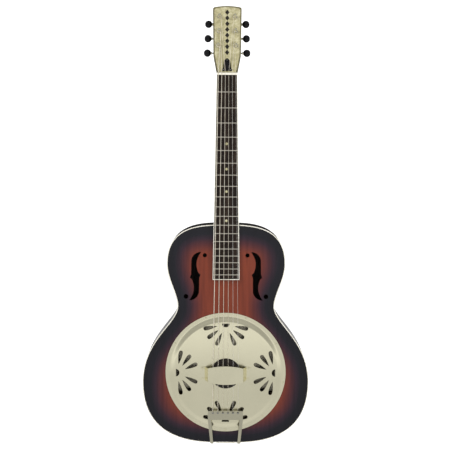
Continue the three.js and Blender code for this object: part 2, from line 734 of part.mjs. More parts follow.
// The strip behind the headstock: post holes, and two ears that carry each worm's shaft.
function tunerStrip() {
  const face = HEAD_THICKNESS + GAP;
  const front = box(-8.5, 8.5, face, face + 1.2, TUNER_ROWS[0] - 12, TUNER_ROWS[2] + 20);
  const ears = [];
  const bores = [];
  for (const row of TUNER_ROWS) {
    for (const x of [-5.8, 5.8]) {
      ears.push(box(x - 0.6, x + 0.6, face + 0.6, WORM_Y + 3.4, row - 3.4, row + 3.4));
    }
    bores.push(rod('x', SHAFT_RADIUS + GAP, -9, 9, { y: WORM_Y, z: row }, 8));
    const post = { z: row + GEAR_RADIUS + WORM_RADIUS };
    bores.push(rod('y', POST_RADIUS + GAP, face - 2, face + 3, post, 10));
  }
  return cut(join(front, ...ears), ...bores).translate(0, 0, -TUNER_ROWS[1]);
}

function tunerShaft(side) {
  const ends = [-side * 7.2, side * (BUTTON_X + 1)];
  const bar = rod('x', SHAFT_RADIUS, Math.min(...ends), Math.max(...ends), {}, 12);
  return join(worm(), bar);
}

function tunerButton(side) {
  const button = new THREE.SphereGeometry(1, 10, 6).rotateZ(Math.PI / 2);
  button.scale(BUTTON_HALF.x, BUTTON_HALF.y, BUTTON_HALF.z);
  button.translate(side * BUTTON_X, 0, 0);
  const ends = [side * (BUTTON_X - 12), side * (BUTTON_X + 1.5)];
  return cut(button, rod('x', SHAFT_RADIUS + GAP, Math.min(...ends), Math.max(...ends), {}, 12));
}

const POST_FRONT = -15;
const POST_BACK = WORM_Y + 2.4;

// Six tuners, numbered like the strings from low E to high E.
let tunerNumber = 0;
for (const side of [-1, 1]) {
  const strap = new THREE.Group();
  strap.position.set(side * POST_X, 0, TUNER_ROWS[1]);
  strap.rotation.y = -side * TUNER_TILT;
  headFrame.add(strap);
  piece(side < 0 ? 'tuner_plate_bass' : 'tuner_plate_treble', tunerStrip(), NICKEL, strap);
  const rows = side < 0 ? TUNER_ROWS : [...TUNER_ROWS].reverse();
  for (const row of rows) {
    tunerNumber += 1;
    const turner = new THREE.Group();
    turner.position.set(0, WORM_Y, row - TUNER_ROWS[1]);
    const capstan = new THREE.Group();
    capstan.position.set(0, WORM_Y, row - TUNER_ROWS[1] + GEAR_RADIUS + WORM_RADIUS);
    strap.add(turner, capstan);
    piece(`tuner_shaft_${tunerNumber}`, tunerShaft(side), STEEL, turner);
    piece(`tuner_button_${tunerNumber}`, tunerButton(side), BLACK_PLASTIC, turner);
    const post = rod('y', POST_RADIUS, POST_FRONT - WORM_Y, POST_BACK - WORM_Y, {}, 12);
    piece(`tuner_post_${tunerNumber}`, post, NICKEL, capstan);
    piece(`tuner_gear_${tunerNumber}`, gearWheel(), BRASS, capstan);
  }
}

// ---------------------------------------------------------------- strings

// A path whose stations are its corners, so that a tube bends exactly there.
class CornerPath extends THREE.Curve {
  constructor(corners) {
    super();
    this.corners = corners;
  }

  getPoint(t) {
    const place = t * (this.corners.length - 1);
    const index = Math.min(Math.floor(place), this.corners.length - 2);
    return this.corners[index].clone().lerp(this.corners[index + 1], place - index);
  }

  getUtoTmapping(u) {
    return u;
  }
}

function stringPath(index, radius) {
  const side = index < 3 ? -1 : 1;
  const row = side < 0 ? TUNER_ROWS[index] : TUNER_ROWS[5 - index];
  const spot = postSpot(side, row);
  const clear = POST_RADIUS + GAP + radius;
  const end = new THREE.Vector3(spot.x - side * clear, -OVERLAY - GAP - 5.5, spot.z - 1);
  const nutTop = -NUT_HEIGHT - GAP - radius;
  const overNut = new THREE.Vector3(stringX(index, NUT_SPREAD), nutTop, NUT_LENGTH);
  const nutFront = overNut.clone().setZ(GAP);
  const bridgeX = stringX(index, BRIDGE_SPREAD);
  const bar = new THREE.Vector3(bridgeX, BAR_FACE - 3.1, BAR_TOP - 2 - GAP);
  const saddle = new THREE.Vector3(bridgeX, SADDLE_TOP - GAP - radius, COVER_Z - 1.6);
  return [
    bar, saddle, neckFrame.localToWorld(nutFront), neckFrame.localToWorld(overNut),
    headFrame.localToWorld(end),
  ];
}

function stringWire(index, radius) {
  const corners = stringPath(index, radius);
  const section = new THREE.Shape(circle(0, 0, radius, 8));
  const options = { steps: corners.length - 1, extrudePath: new CornerPath(corners), bevelEnabled: false };
  return new THREE.ExtrudeGeometry(section, options);
}

STRING_RADII.forEach((radius, index) => {
  piece(`string_${index + 1}`, stringWire(index, radius), BRONZE_WIRE);
});

// ---------------------------------------------------------------- origin

guitar.position.copy(YOKE).negate();
const part = new THREE.Group();
part.add(guitar);

export default part;
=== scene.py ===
"""The looks of the resonator guitar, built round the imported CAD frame.

Shapes are drawn in millimetres in the same frames as the CAD source: the body frame has y = 0 on
the soundboard's front and z = 0 at the nut, the neck frame leans back from it and the head frame
leans back from the neck. ZERO and MM take them to the row frame, in metres.
"""

from math import copysign, cos, hypot, pi, radians, sin, tan

import bmesh
import bpy
import numpy as np
from mathutils import Matrix, Quaternion, Vector
from mathutils.geometry import delaunay_2d_cdt


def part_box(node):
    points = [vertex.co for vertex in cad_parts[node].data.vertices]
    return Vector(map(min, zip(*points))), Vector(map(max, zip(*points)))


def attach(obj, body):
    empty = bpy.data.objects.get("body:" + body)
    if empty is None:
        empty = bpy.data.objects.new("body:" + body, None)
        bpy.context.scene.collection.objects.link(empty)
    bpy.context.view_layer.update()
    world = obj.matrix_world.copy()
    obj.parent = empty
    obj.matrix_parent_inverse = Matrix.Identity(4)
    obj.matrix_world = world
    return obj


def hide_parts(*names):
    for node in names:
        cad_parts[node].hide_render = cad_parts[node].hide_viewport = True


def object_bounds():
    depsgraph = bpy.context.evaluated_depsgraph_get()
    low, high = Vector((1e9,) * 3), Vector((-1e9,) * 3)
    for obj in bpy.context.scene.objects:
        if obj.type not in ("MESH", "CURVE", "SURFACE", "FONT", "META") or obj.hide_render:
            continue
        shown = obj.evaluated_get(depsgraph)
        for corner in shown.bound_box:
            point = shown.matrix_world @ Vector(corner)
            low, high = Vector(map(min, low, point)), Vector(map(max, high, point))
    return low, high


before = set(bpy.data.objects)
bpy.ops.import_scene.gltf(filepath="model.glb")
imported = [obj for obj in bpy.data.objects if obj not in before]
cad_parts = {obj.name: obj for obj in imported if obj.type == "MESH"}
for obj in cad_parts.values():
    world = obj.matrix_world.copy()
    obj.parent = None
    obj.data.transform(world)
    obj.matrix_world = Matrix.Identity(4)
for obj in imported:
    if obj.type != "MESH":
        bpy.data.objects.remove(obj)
cad_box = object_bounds()

# ------------------------------ sizes, in millimetres

MM = 0.001
SCALE_LENGTH = 635
BODY_TOP, BODY_END, BODY_DEPTH = -317, -789.5, 78
PLATE = 3
BINDING = 2
SIDE_WALL = 5
F_HOLE_X, F_HOLE_Z = 66, -427.3
SOUND_DOTS = ((45.5, -382.4, 4.4), (85.5, -471, 4.9))        # x, z and radius
COVER_Z, COVER_RADIUS, COVER_HOLE = -635, 129.2, 32.5
DOME_RADIUS, DOME_FOOT, DOME_RISE = 118.5, 5, 7.6
SHOULDER_RADIUS, FLANGE_INNER, FLANGE_FACE = 110, 122, -1.3
COVER_SHEET, COVER_SCREWS, COVER_SCREW_RADIUS = 0.9, 9, 125.2
ROSETTE_RADIUS = 104.5
PETAL_ANGLES = (-79, -53, -25, 25, 53, 79)
NECK_ANGLE, HEAD_ANGLE = radians(2), radians(14)
NECK_DEPTH, HEEL_DEPTH, HEEL_LENGTH = 16.2, 74, 78
BOARD_LENGTH, BOARD_THICKNESS, BOARD_BINDING = 434, 6, 1.6
NUT_WIDTH, BOARD_END_WIDTH, NUT_LENGTH, NUT_TOP = 44.5, 57.2, 5, -1.2
HEAD_LENGTH, HEAD_THICKNESS, HEAD_SHOULDER = 151, 14, 41
TUNER_ROWS = (51, 84, 117)
TUNER_TILT = radians(1.8)
POST_X, POST_RADIUS = 18, 3
GEAR_TEETH, GEAR_RADIUS, WORM_RADIUS, WORM_Y = 14, 5.8, 3, 19.6
BUTTON_X, BUTTON_LENGTH, BUTTON_THICKNESS, BUTTON_WIDTH = 23.3, 7.6, 4.3, 8.4
SADDLE_TOP, SADDLE_HALF = -23.9, 31
REST_END, REST_FOOT, REST_TOP, REST_SHEET = 39.7, 4.4, -33.2, 1.2
BAR_TOP, BAR_FACE = -715.5, -13.5
WRAP_PITCH = 0.35
STRING_RADII = (0.71, 0.56, 0.43, 0.31, 0.21, 0.17)
NUT_SPREAD, BRIDGE_SPREAD = 37, 54
GAP = 0.3

cover_low, cover_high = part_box("cover_plate")
ZERO = Vector((0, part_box("soundboard")[0].y, (cover_low.z + cover_high.z) / 2 - COVER_Z * MM))

BODY = Matrix.Identity(4)
NECK = (Matrix.Translation((0, -7.5 + SCALE_LENGTH / 2 * tan(NECK_ANGLE), 0))
        @ Matrix.Rotation(-NECK_ANGLE, 4, "X"))
HEAD = (NECK @ Matrix.Translation((0, BOARD_THICKNESS, NUT_LENGTH))
        @ Matrix.Rotation(-HEAD_ANGLE, 4, "X"))
COVER = Matrix.Translation((0, 0, COVER_Z))


def new_object(name, data):
    made = bpy.data.objects.new(name, data)
    bpy.context.scene.collection.objects.link(made)
    return made


def around(count):
    """Angles of evenly spaced points on a circle."""
    return [2 * pi * k / count for k in range(count)]


def at(x, y, z, place=BODY):
    """A point given in millimetres of one of the drawing frames, in the row frame."""
    return ZERO + (place @ Vector((x, y, z))) * MM


# ------------------------------ camera, floor and light: metres, but targets and lens in millimetres

CAMERA_DISTANCE, CAMERA_HEIGHT, CAMERA_ROLL = 2.209, radians(4.07), radians(0.28)
CAMERA_TARGET, LIGHT_TARGET = -317.4, -450
SENSOR_WIDTH, LENS, LENS_SHIFT = 36, 82.96, -0.0029
FLOOR_DROP = 0.4                 # the guitar hangs by its headstock, clear of the floor
STAGE_RADIUS, STAGE_BEND, STAGE_WALL, STAGE_TURNS = 4.0, 1.0, 6.0, 96
LIGHTS = {
    "key": ((-1.5, -2.2, 1.4), 1.8, 44),
    "fill": ((1.8, -2.0, 0.2), 1.8, 33),
    "back_light": ((0.9, 2.4, 1.0), 1.6, 70),
}


def make_camera():
    data = bpy.data.cameras.new("camera")
    data.sensor_width, data.lens = SENSOR_WIDTH, LENS
    data.shift_x = LENS_SHIFT
    camera = new_object("camera", data)
    back = Vector((0, -cos(CAMERA_HEIGHT), sin(CAMERA_HEIGHT)))
    camera.location = at(0, 0, CAMERA_TARGET) + back * CAMERA_DISTANCE
    camera.rotation_mode = "QUATERNION"
    roll = Quaternion((0, 0, 1), CAMERA_ROLL)
    camera.rotation_quaternion = (-back).to_track_quat("-Z", "Y") @ roll
    bpy.context.scene.camera = camera


def make_light(name, place, size, watts):
    data = bpy.data.lights.new(name, "AREA")
    data.shape, data.size, data.energy = "DISK", size, watts
    light = new_object(name, data)
    light.location = place
    light.visible_glossy = False
    aim = at(0, 0, LIGHT_TARGET) - light.location
    light.rotation_mode = "QUATERNION"
    light.rotation_quaternion = aim.to_track_quat("-Z", "Y")


def make_stage():
    """A round pale floor that curves up into a wall, well away from the guitar on every side."""
    floor_z = cad_box[0].z - FLOOR_DROP
    section = [(0.0, 0.0), (STAGE_RADIUS, 0.0)]
    for angle in np.linspace(0, pi / 2, 13)[1:]:
        section.append((STAGE_RADIUS + STAGE_BEND * sin(angle), STAGE_BEND * (1 - cos(angle))))
    section.append((STAGE_RADIUS + STAGE_BEND, STAGE_WALL))
    verts = []
    for radius, height in section:
        for angle in around(STAGE_TURNS):
            verts.append((radius * cos(angle), radius * sin(angle), floor_z + height))
    mesh = bpy.data.meshes.new("floor")
    mesh.from_pydata(verts, [], quads(len(section), STAGE_TURNS))
    mesh.shade_smooth()
    floor = new_object("floor", mesh)
    paint = Shader("pale_floor", (0.8, 0.8, 0.8, 1), 0.9, Emission_Color=(1, 1, 1, 1),
                   Emission_Strength=0.86)
    mesh.materials.append(paint.material)
    floor.visible_glossy = floor.visible_diffuse = floor.visible_shadow = False


def make_world():
    """A white room, dimmer overhead, and dark behind the guitar down to its pale floor."""
    world = bpy.data.worlds.new("studio")
    world.use_nodes = True
    sky = Nodes(world.node_tree)
    way = sky.add("ShaderNodeSeparateXYZ", Vector=sky.add("ShaderNodeTexCoord").outputs["Generated"])
    up, back = (sky.math("MULTIPLY_ADD", way.outputs[axis], 0.5, 0.5) for axis in ("Z", "Y"))
    height = sky.ramp(up, [(0.0, 0.65), (0.25, 0.55), (0.39, 0.52), (0.465, 0.73), (0.525, 0.98),
                           (0.55, 0.8), (0.585, 0.4), (0.72, 0.36), (1.0, 0.5)])
    depth = sky.ramp(back, [(0.0, 1.0), (0.5, 1.0), (0.64, 0.1), (1.0, 0.05)])
    below = sky.ramp(up, [(0.0, 1.0), (0.455, 1.0), (0.485, 0.0), (1.0, 0.0)])
    color = sky.mix(1.0, height, sky.mix(below, depth, (1, 1, 1, 1)), "MULTIPLY")
    background = sky.tree.nodes["Background"]
    sky.plug(background.inputs["Color"], color)
    background.inputs["Strength"].default_value = 1.0
    bpy.context.scene.world = world
    bpy.context.scene.view_settings.view_transform = "Standard"


# ------------------------------ materials


def srgb(red, green, blue):
    """A colour given in screen values from 0 to 255, as linear red, green and blue."""
    def linear(value):
        value /= 255
        return value / 12.92 if value <= 0.04045 else ((value + 0.055) / 1.055) ** 2.4
    return (linear(red), linear(green), linear(blue), 1)


class Nodes:
    """Short ways to add nodes to a shading tree."""

    def __init__(self, tree):
        self.tree = tree

    def plug(self, socket, value):
        if isinstance(value, bpy.types.NodeSocket):
            self.tree.links.new(value, socket)
        else:
            socket.default_value = value

    def add(self, kind, settings=(), **inputs):
        """A new node; an underscore in an input's name stands for a space."""
        made = self.tree.nodes.new(kind)
        for key, value in dict(settings).items():
            setattr(made, key, value)
        for key, value in inputs.items():
            self.plug(made.inputs[key.replace("_", " ")], value)
        return made

    def numbered(self, kind, operation, *values):
        """A new maths node, whose inputs are told apart by their order."""
        made = self.add(kind, {"operation": operation})
        for socket, value in zip(made.inputs, values):
            self.plug(socket, value)
        return made

    def math(self, operation, *values):
        return self.numbered("ShaderNodeMath", operation, *values).outputs[0]

    def ramp(self, value, stops):
        """Colours along a value from 0 to 1; a single number is a grey."""
        made = self.add("ShaderNodeValToRGB", Fac=value)
        points = made.color_ramp.elements
        while len(points) < len(stops):
            points.new(0.5)
        for point, (position, color) in zip(points, stops):
            color = (color,) * 3 if isinstance(color, float) else color
            point.position = position
            point.color = color if len(color) == 4 else (*color, 1)
        return made.outputs["Color"]

    def mix(self, amount, first, second, blend="MIX"):
        made = self.add("ShaderNodeMixRGB", {"blend_type": blend},
                        Fac=amount, Color1=first, Color2=second)
        return made.outputs[0]


MATERIALS = {}                   # by name; every Shader adds its own


class Shader(Nodes):
    """A principled material and short ways to add textures to it."""

    def __init__(self, name, color, roughness, metallic=0.0, **inputs):
        self.material = MATERIALS[name] = bpy.data.materials.new(name)
        self.material.use_nodes = True
        super().__init__(self.material.node_tree)
        self.surface = self.tree.nodes["Principled BSDF"]
        self.set("Base Color", color)
        self.set("Roughness", roughness)
        self.set("Metallic", metallic)
        for key, value in inputs.items():
            self.set(key.replace("_", " "), value)
        self.place = self.add("ShaderNodeTexCoord").outputs["Object"]

    def set(self, name, value):
        self.plug(self.surface.inputs[name], value)

    def stretched(self, x, y, z):
        """The place on the object, scaled by a different amount along each axis."""
        return self.add("ShaderNodeMapping", Vector=self.place, Scale=(x, y, z)).outputs[0]

    def noise(self, scale, detail=3.0, where=None, distortion=0.0):
        where = self.place if where is None else where
        made = self.add("ShaderNodeTexNoise", Vector=where, Scale=scale, Detail=detail,
                        Distortion=distortion)
        return made.outputs[0]

    def bump(self, height, distance, strength=1.0):
        made = self.add("ShaderNodeBump", Height=height, Distance=distance, Strength=strength)
        self.set("Normal", made.outputs[0])

    def radius(self, centre):
        """The distance from a line along y through the centre."""
        kind = "ShaderNodeVectorMath"
        flat = self.numbered(kind, "MULTIPLY", self.place, (1, 0, 1)).outputs[0]
        return self.numbered(kind, "DISTANCE", flat, (centre.x, 0, centre.z)).outputs["Value"]


def lacquer(name, color, sheen, stops=None):
    """Stained wood under gloss lacquer; stops colour it by the distance from the body's edge."""
    shader = Shader(name, color, 0.2, Coat_Weight=0.1, Coat_Roughness=0.06,
                    Specular_Tint=(sheen, sheen, sheen * 1.1, 1))
    grain = shader.noise(9, 6, shader.stretched(16, 16, 0.9), 0.4)
    streak = shader.ramp(grain, [(0.3, (0.62, 0.60, 0.58)), (0.62, 1.0)])
    if stops:
        edge = shader.add("ShaderNodeAttribute", {"attribute_name": "edge"}).outputs["Fac"]
        drift = shader.math("MULTIPLY", shader.math("SUBTRACT", shader.noise(7, 2), 0.5), 14.0)
        reach = shader.math("DIVIDE", shader.math("ADD", edge, drift), 130.0)
        color = shader.ramp(reach, stops)
    shader.set("Base Color", shader.mix(0.75, color, streak, "MULTIPLY"))
    speck = shader.noise(60, 3)
    shader.set("Roughness", shader.ramp(speck, [(0.3, 0.16), (0.75, 0.27)]))
    shader.bump(grain, 0.00008, 0.5)


def bare_wood(name, dark, light, stretch=(22, 22, 1.6)):
    shader = Shader(name, light, 0.62)
    grain = shader.noise(14, 8, shader.stretched(*stretch), 0.6)
    shader.set("Base Color", shader.ramp(grain, [(0.32, dark), (0.66, light)]))
    shader.set("Roughness", shader.ramp(grain, [(0.2, 0.72), (0.8, 0.5)]))
    shader.bump(grain, 0.00025, 0.6)


def rosewood():
    shader = Shader("rosewood", srgb(52, 40, 33), 0.42, Specular_Tint=(0.25, 0.25, 0.25, 1))
    bands = shader.noise(10, 6, shader.stretched(26, 26, 1.4), 0.9)
    pores = shader.noise(30, 2, shader.stretched(60, 60, 4))
    tint = shader.ramp(bands, [
        (0.28, srgb(22, 17, 15)), (0.5, srgb(37, 29, 25)), (0.75, srgb(62, 49, 40))])
    open_pores = shader.ramp(pores, [(0.36, 0.35), (0.46, 1.0)])
    shader.set("Base Color", shader.mix(0.8, tint, open_pores, "MULTIPLY"))
    shader.set("Roughness", shader.ramp(bands, [(0.3, 0.36), (0.8, 0.52)]))
    shader.bump(open_pores, 0.00012, 0.7)


def plastic(name, dark, light, roughness, scale=40, sheen=1.0):
    shader = Shader(name, light, roughness, Coat_Weight=0.2 * sheen, Coat_Roughness=0.1,
                    Specular_Tint=(sheen, sheen, sheen, 1))
    cloud = shader.noise(scale, 4)
    shader.set("Base Color", shader.ramp(cloud, [(0.3, dark), (0.7, light)]))
    wear = shader.noise(scale * 6, 3)
    shader.set("Roughness", shader.ramp(wear, [(0.3, roughness - 0.06), (0.75, roughness + 0.08)]))
    shader.bump(wear, 0.00003, 0.6)


def pearloid():
    """Marbled pearl plastic: overlapping cells whose lustre runs in different directions."""
    shader = Shader("pearloid", srgb(206, 200, 158), 0.22, Coat_Weight=0.3, Coat_Roughness=0.05)
    warp = shader.noise(60, 4)
    mixed = shader.mix(0.03, shader.place, warp)
    cells = shader.add("ShaderNodeTexVoronoi", {"feature": "SMOOTH_F1"}, Vector=mixed, Scale=150.0)
    swirl = shader.noise(160, 6, mixed, 2.2)
    lustre = shader.mix(0.35, swirl, cells.outputs["Color"])
    lustre = shader.mix(0.3, lustre, cells.outputs["Distance"])
    shader.set("Base Color", shader.ramp(lustre, [
        (0.34, srgb(158, 151, 114)), (0.44, srgb(180, 173, 133)),
        (0.52, srgb(192, 185, 147)), (0.62, srgb(212, 207, 174))]))
    shader.bump(swirl, 0.00004, 0.4)


def plated(name, color, roughness, smear=0.03, metallic=1.0):
    """Plated metal with faint wiping marks and a slightly uneven polish."""
    shader = Shader(name, color, roughness, metallic)
    cloud = shader.noise(24, 4)
    marks = shader.noise(240, 3, shader.stretched(0.6, 1, 2.0))
    tint = shader.ramp(cloud, [(0.25, [c * 0.95 for c in color[:3]]), (0.75, color)])
    shader.set("Base Color", tint)
    uneven = shader.mix(0.5, cloud, marks)
    shader.set("Roughness", shader.ramp(uneven, [(0.3, roughness - smear), (0.7, roughness + smear)]))
    shader.bump(marks, 0.000004, 0.5)


def spun(name, color, roughness, rings_per_metre):
    """Metal turned on a lathe: fine rings round the cone's axis."""
    shader = Shader(name, color, roughness, 1.0)
    radius = shader.radius(at(0, 0, COVER_Z))
    wave = shader.math("SINE", shader.math("MULTIPLY", radius, rings_per_metre * 2 * pi))
    bent = shader.math("ADD", wave, shader.math("MULTIPLY", shader.noise(40, 3), 2.0))
    tint = shader.ramp(shader.noise(18, 3), [(0.3, [c * 0.82 for c in color[:3]]), (0.7, color)])
    shader.set("Base Color", tint)
    shader.bump(bent, 0.00012, 0.6)


def wound_wire():
    """Bronze wrap wire: close turns along the string."""
    shader = Shader("wound_string", srgb(240, 230, 208), 0.45, 0.5)
    run = shader.add("ShaderNodeSeparateXYZ", Vector=shader.place).outputs["Z"]
    wave = shader.math("SINE", shader.math("MULTIPLY", run, 2 * pi / (WRAP_PITCH * MM)))
    shader.set("Base Color", shader.ramp(shader.noise(70, 2), [
        (0.3, srgb(238, 228, 206)), (0.7, srgb(254, 248, 232))]))
    shader.bump(wave, 0.00005, 0.8)


BURST = [
    (0.0, srgb(16, 17, 20)), (0.13, srgb(22, 22, 28)), (0.21, srgb(48, 30, 40)),
    (0.31, srgb(86, 40, 40)), (0.44, srgb(122, 54, 35)), (0.6, srgb(126, 56, 34)),
    (1.0, srgb(134, 60, 30)),
]
BACK_BURST = [
    (0.0, srgb(15, 14, 15)), (0.16, srgb(20, 15, 15)), (0.4, srgb(42, 23, 18)),
    (0.75, srgb(70, 38, 25)), (1.0, srgb(84, 47, 29)),
]

lacquer("sunburst_top", srgb(118, 58, 42), 0.6, BURST)
lacquer("sunburst_back", srgb(60, 34, 24), 0.2, BACK_BURST)
lacquer("dark_lacquer", srgb(30, 24, 22), 0.12)
# Bare wood made dark for the hollow body's inside faces: painted shade inside the body.
bare_wood("inside_wood_painted_shade", srgb(34, 22, 14), srgb(60, 38, 24))
bare_wood("mahogany", srgb(70, 36, 24), srgb(118, 66, 42))
bare_wood("plywood", srgb(92, 68, 46), srgb(140, 108, 74))
# Maple grain coloured near black, for the biscuit and the saddle.
bare_wood("stained_maple", srgb(20, 15, 13), srgb(36, 28, 23))
plastic("ivory_plastic", srgb(240, 235, 218), srgb(250, 247, 236), 0.28)
rosewood()
pearloid()
plated("nickel", srgb(249, 244, 213), 0.24)
# Nickel made darker for the tailpiece and its hanger: painted shade for their tilted legs.
plated("tail_nickel_painted_shade", srgb(206, 202, 178), 0.3)
# Dark, rough nickel for the cover plate's underside: painted shade under the plate.
plated("nickel_underside_painted_shade", srgb(84, 80, 66), 0.6)
spun("spun_aluminium", srgb(206, 200, 178), 0.16, 900)
plated("steel", srgb(176, 176, 174), 0.32)
plated("fret_wire", srgb(226, 220, 205), 0.2, 0.04)
plated("brass", srgb(186, 150, 88), 0.32)
plastic("black_plastic", srgb(9, 9, 12), srgb(16, 16, 19), 0.24, sheen=0.5)
plastic("black_inlay", srgb(28, 25, 22), srgb(44, 40, 34), 0.3, sheen=0.5)
plastic("olive_edge", srgb(92, 87, 62), srgb(124, 118, 86), 0.3, sheen=0.6)
wound_wire()
plated("plain_string", srgb(254, 251, 244), 0.4, metallic=0.5)

# ------------------------------ mesh helpers


def clean_mesh(name, verts, faces, merge):
    """A mesh with points closer than merge joined and every face turned outward."""
    mesh = bpy.data.meshes.new(name)
    mesh.from_pydata(verts, [], faces)
    work = bmesh.new()
    work.from_mesh(mesh)
    bmesh.ops.remove_doubles(work, verts=work.verts, dist=merge)
    bmesh.ops.recalc_face_normals(work, faces=work.faces)
    work.to_mesh(mesh)
    work.free()
    return mesh


def smooth(mesh, sharp):
    mesh.shade_smooth()
    mesh.set_sharp_from_angle(angle=radians(sharp))


def add_piece(name, mesh, body, material):
    """Puts a mesh in the scene as a visible piece, riding on a body."""
    mesh.materials.append(MATERIALS[material])
    made = new_object(name, mesh)
    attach(made, body)
    return made


def piece(name, verts, faces, place=BODY, body="root", material="nickel", slot=None,
          replaces=(), sharp=35):
    """A visible piece from points in a drawing frame; slot is not used."""
    mesh = clean_mesh(name, [at(*v, place) for v in verts], faces, 1e-7)
    smooth(mesh, sharp)
    made = add_piece(name, mesh, body, material)
    if replaces:
        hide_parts(*replaces)
    return made


def bevel(obj, width, segments=2, angle=35):
    """Rounds the sharp edges, width in millimetres."""
    modifier = obj.modifiers.new("edges", "BEVEL")
    modifier.width, modifier.segments = width * MM, segments
    modifier.limit_method, modifier.angle_limit = "ANGLE", radians(angle)
    modifier.harden_normals = True
    return obj


def joined(*parts):
    """Several (verts, faces) as one."""
    verts, faces = [], []
    for part_verts, part_faces in parts:
        first = len(verts)
        verts += list(part_verts)
        faces += [tuple(i + first for i in face) for face in part_faces]
    return verts, faces


def moved(part, matrix):
    verts, faces = part
    return [tuple(matrix @ Vector(v)) for v in verts], faces


def quads(rows, count, closed=True):
    """Four-sided faces between rows of points; closed joins each row's last point to its first."""
    faces = []
    for i in range(rows - 1):
        for j in range(count if closed else count - 1):
            k = (j + 1) % count
            faces.append((i * count + j, i * count + k, (i + 1) * count + k, (i + 1) * count + j))
    return faces


def loft(rings):
    """A capped skin over rings with the same number of points."""
    count = len(rings[0])
    verts = [tuple(p) for ring in rings for p in ring]
    caps = [tuple(range(count)), tuple(range((len(rings) - 1) * count, len(rings) * count))]
    return verts, quads(len(rings), count) + caps


def lathe(profile, segments=64, loop=False):
    """A turned piece about the y axis from (radius, y) pairs."""
    rings = [[(r * cos(angle), y, r * sin(angle)) for r, y in profile] for angle in around(segments)]
    rings.append(rings[0])
    return [p for ring in rings for p in ring], quads(segments + 1, len(profile), loop)


def box(x0, x1, y0, y1, z0, z1):
    rings = [[(x0, y0, z), (x1, y0, z), (x1, y1, z), (x0, y1, z)] for z in (z0, z1)]
    return loft(rings)


def tube(points, radius, sides=10):
    """A round wire through the points."""
    points = [Vector(p) for p in points]
    rings = []
    normal = None
    for i, point in enumerate(points):
        along = (points[min(i + 1, len(points) - 1)] - points[max(i - 1, 0)]).normalized()
        if normal is None:
            normal = along.orthogonal().normalized()
        normal = (normal - along * normal.dot(along)).normalized()
        across = along.cross(normal)
        rings.append([tuple(point + radius * (normal * cos(a) + across * sin(a))) for a in around(sides)])
    return loft(rings)


def bezier(a, b, c, d, steps):
    """Points of a cubic curve, both ends included."""
    t = np.linspace(0, 1, steps + 1)[:, None]
    a, b, c, d = (np.array(p, float) for p in (a, b, c, d))
    return (1 - t) ** 3 * a + 3 * (1 - t) ** 2 * t * b + 3 * (1 - t) * t ** 2 * c + t ** 3 * d


def circle(x, z, radius, count=40):
    angles = np.arange(count) * 2 * pi / count
    return np.stack([x + radius * np.cos(angles), z + radius * np.sin(angles)], 1)


def inside(points, loop):
    x, z = points[:, :1], points[:, 1:]
    x0, z0 = loop[:, 0], loop[:, 1]
    x1, z1 = np.roll(x0, -1), np.roll(z0, -1)
    run = np.where(z1 == z0, 1e-9, z1 - z0)
    crossed = ((z0 > z) != (z1 > z)) & (x < x0 + (z - z0) * (x1 - x0) / run)
    return crossed.sum(1) % 2 == 1


def distance(points, loop):
    """How far each point is from a closed outline."""
    start = loop[None]
    run = np.roll(loop, -1, 0)[None] - start
    offset = points[:, None] - start
    share = np.clip((offset * run).sum(2) / (run ** 2).sum(2), 0, 1)
    return np.linalg.norm(offset - share[..., None] * run, axis=2).min(1)


def grid(loop, pitch):
    """Points in staggered rows over an outline's box."""
    low, high = loop.min(0), loop.max(0)
    rows = []
    for i, z in enumerate(np.arange(low[1], high[1], pitch * 0.866)):
        x = np.arange(low[0] + (i % 2) * pitch / 2, high[0], pitch)
        rows.append(np.stack([x, np.full_like(x, z)], 1))
    return np.concatenate(rows)


NO_POINTS = np.zeros((1, 2))     # one point, outside every strip and inlay filled with it


def fill(outer, holes=(), points=None, pitch=8.0, clear=0.5):
    """Triangles over a flat outline with holes, through extra points that stay off its edges."""
    loops = [np.asarray(outer, float)] + [np.asarray(h, float) for h in holes]
    extra = grid(loops[0], pitch) if points is None else points
    keep = inside(extra, loops[0]) & (distance(extra, loops[0]) > clear * pitch)
    for hole in loops[1:]:
        keep &= ~inside(extra, hole) & (distance(extra, hole) > clear * pitch)
    coords, edges = [], []
    for loop in loops:
        first, count = len(coords), len(loop)
        coords += [Vector(p) for p in loop]
        edges += [(first + i, first + (i + 1) % count) for i in range(count)]
    coords += [Vector(p) for p in extra[keep]]
    found = delaunay_2d_cdt(coords, edges, [], 0, 1e-5)
    flat = np.array([tuple(p) for p in found[0]])
    middles = np.array([flat[list(face)].mean(0) for face in found[2]])
    wanted = inside(middles, loops[0])
    for hole in loops[1:]:
        wanted &= ~inside(middles, hole)
    return flat, [tuple(face) for face, use in zip(found[2], wanted) if use]


def plate(flat, faces, front, thickness):
    """A filled outline as a solid sheet; front is a height or a function of x and z."""
    height = [front(x, z) if callable(front) else front for x, z in flat]
    count = len(flat)
    verts = [(x, y, z) for (x, z), y in zip(flat, height)]
    verts += [(x, y + thickness, z) for (x, z), y in zip(flat, height)]
    edges = {(face[i], face[(i + 1) % 3]) for face in faces for i in range(3)}
    walls = [(a, b, b + count, a + count) for a, b in edges if (b, a) not in edges]
    back = [tuple(i + count for i in reversed(face)) for face in faces]
    return verts, list(faces) + back + walls


def mirrored(half, open_start=False):
    """An outline from its treble half, whose ends lie on x = 0; open_start leaves the first off it."""
    half = np.asarray(half, float)
    first = 0 if open_start else 1
    return np.concatenate([half, (half[first:-1] * (-1, 1))[::-1]])


def turned(points, angle):
    """Flat points turned about the origin."""
    c, s = cos(angle), sin(angle)
    return points @ np.array([[c, s], [-s, c]])


def shade_faces_inside(obj, material, hidden):
    """Another material on the faces whose middle, in millimetres, and normal pass the test: painted shade
    on hidden inner faces.
    """
    obj.data.materials.append(MATERIALS[material])
    for face in obj.data.polygons:
        if hidden((face.center - ZERO) / MM, face.normal):
            face.material_index = 1


# ------------------------------ body

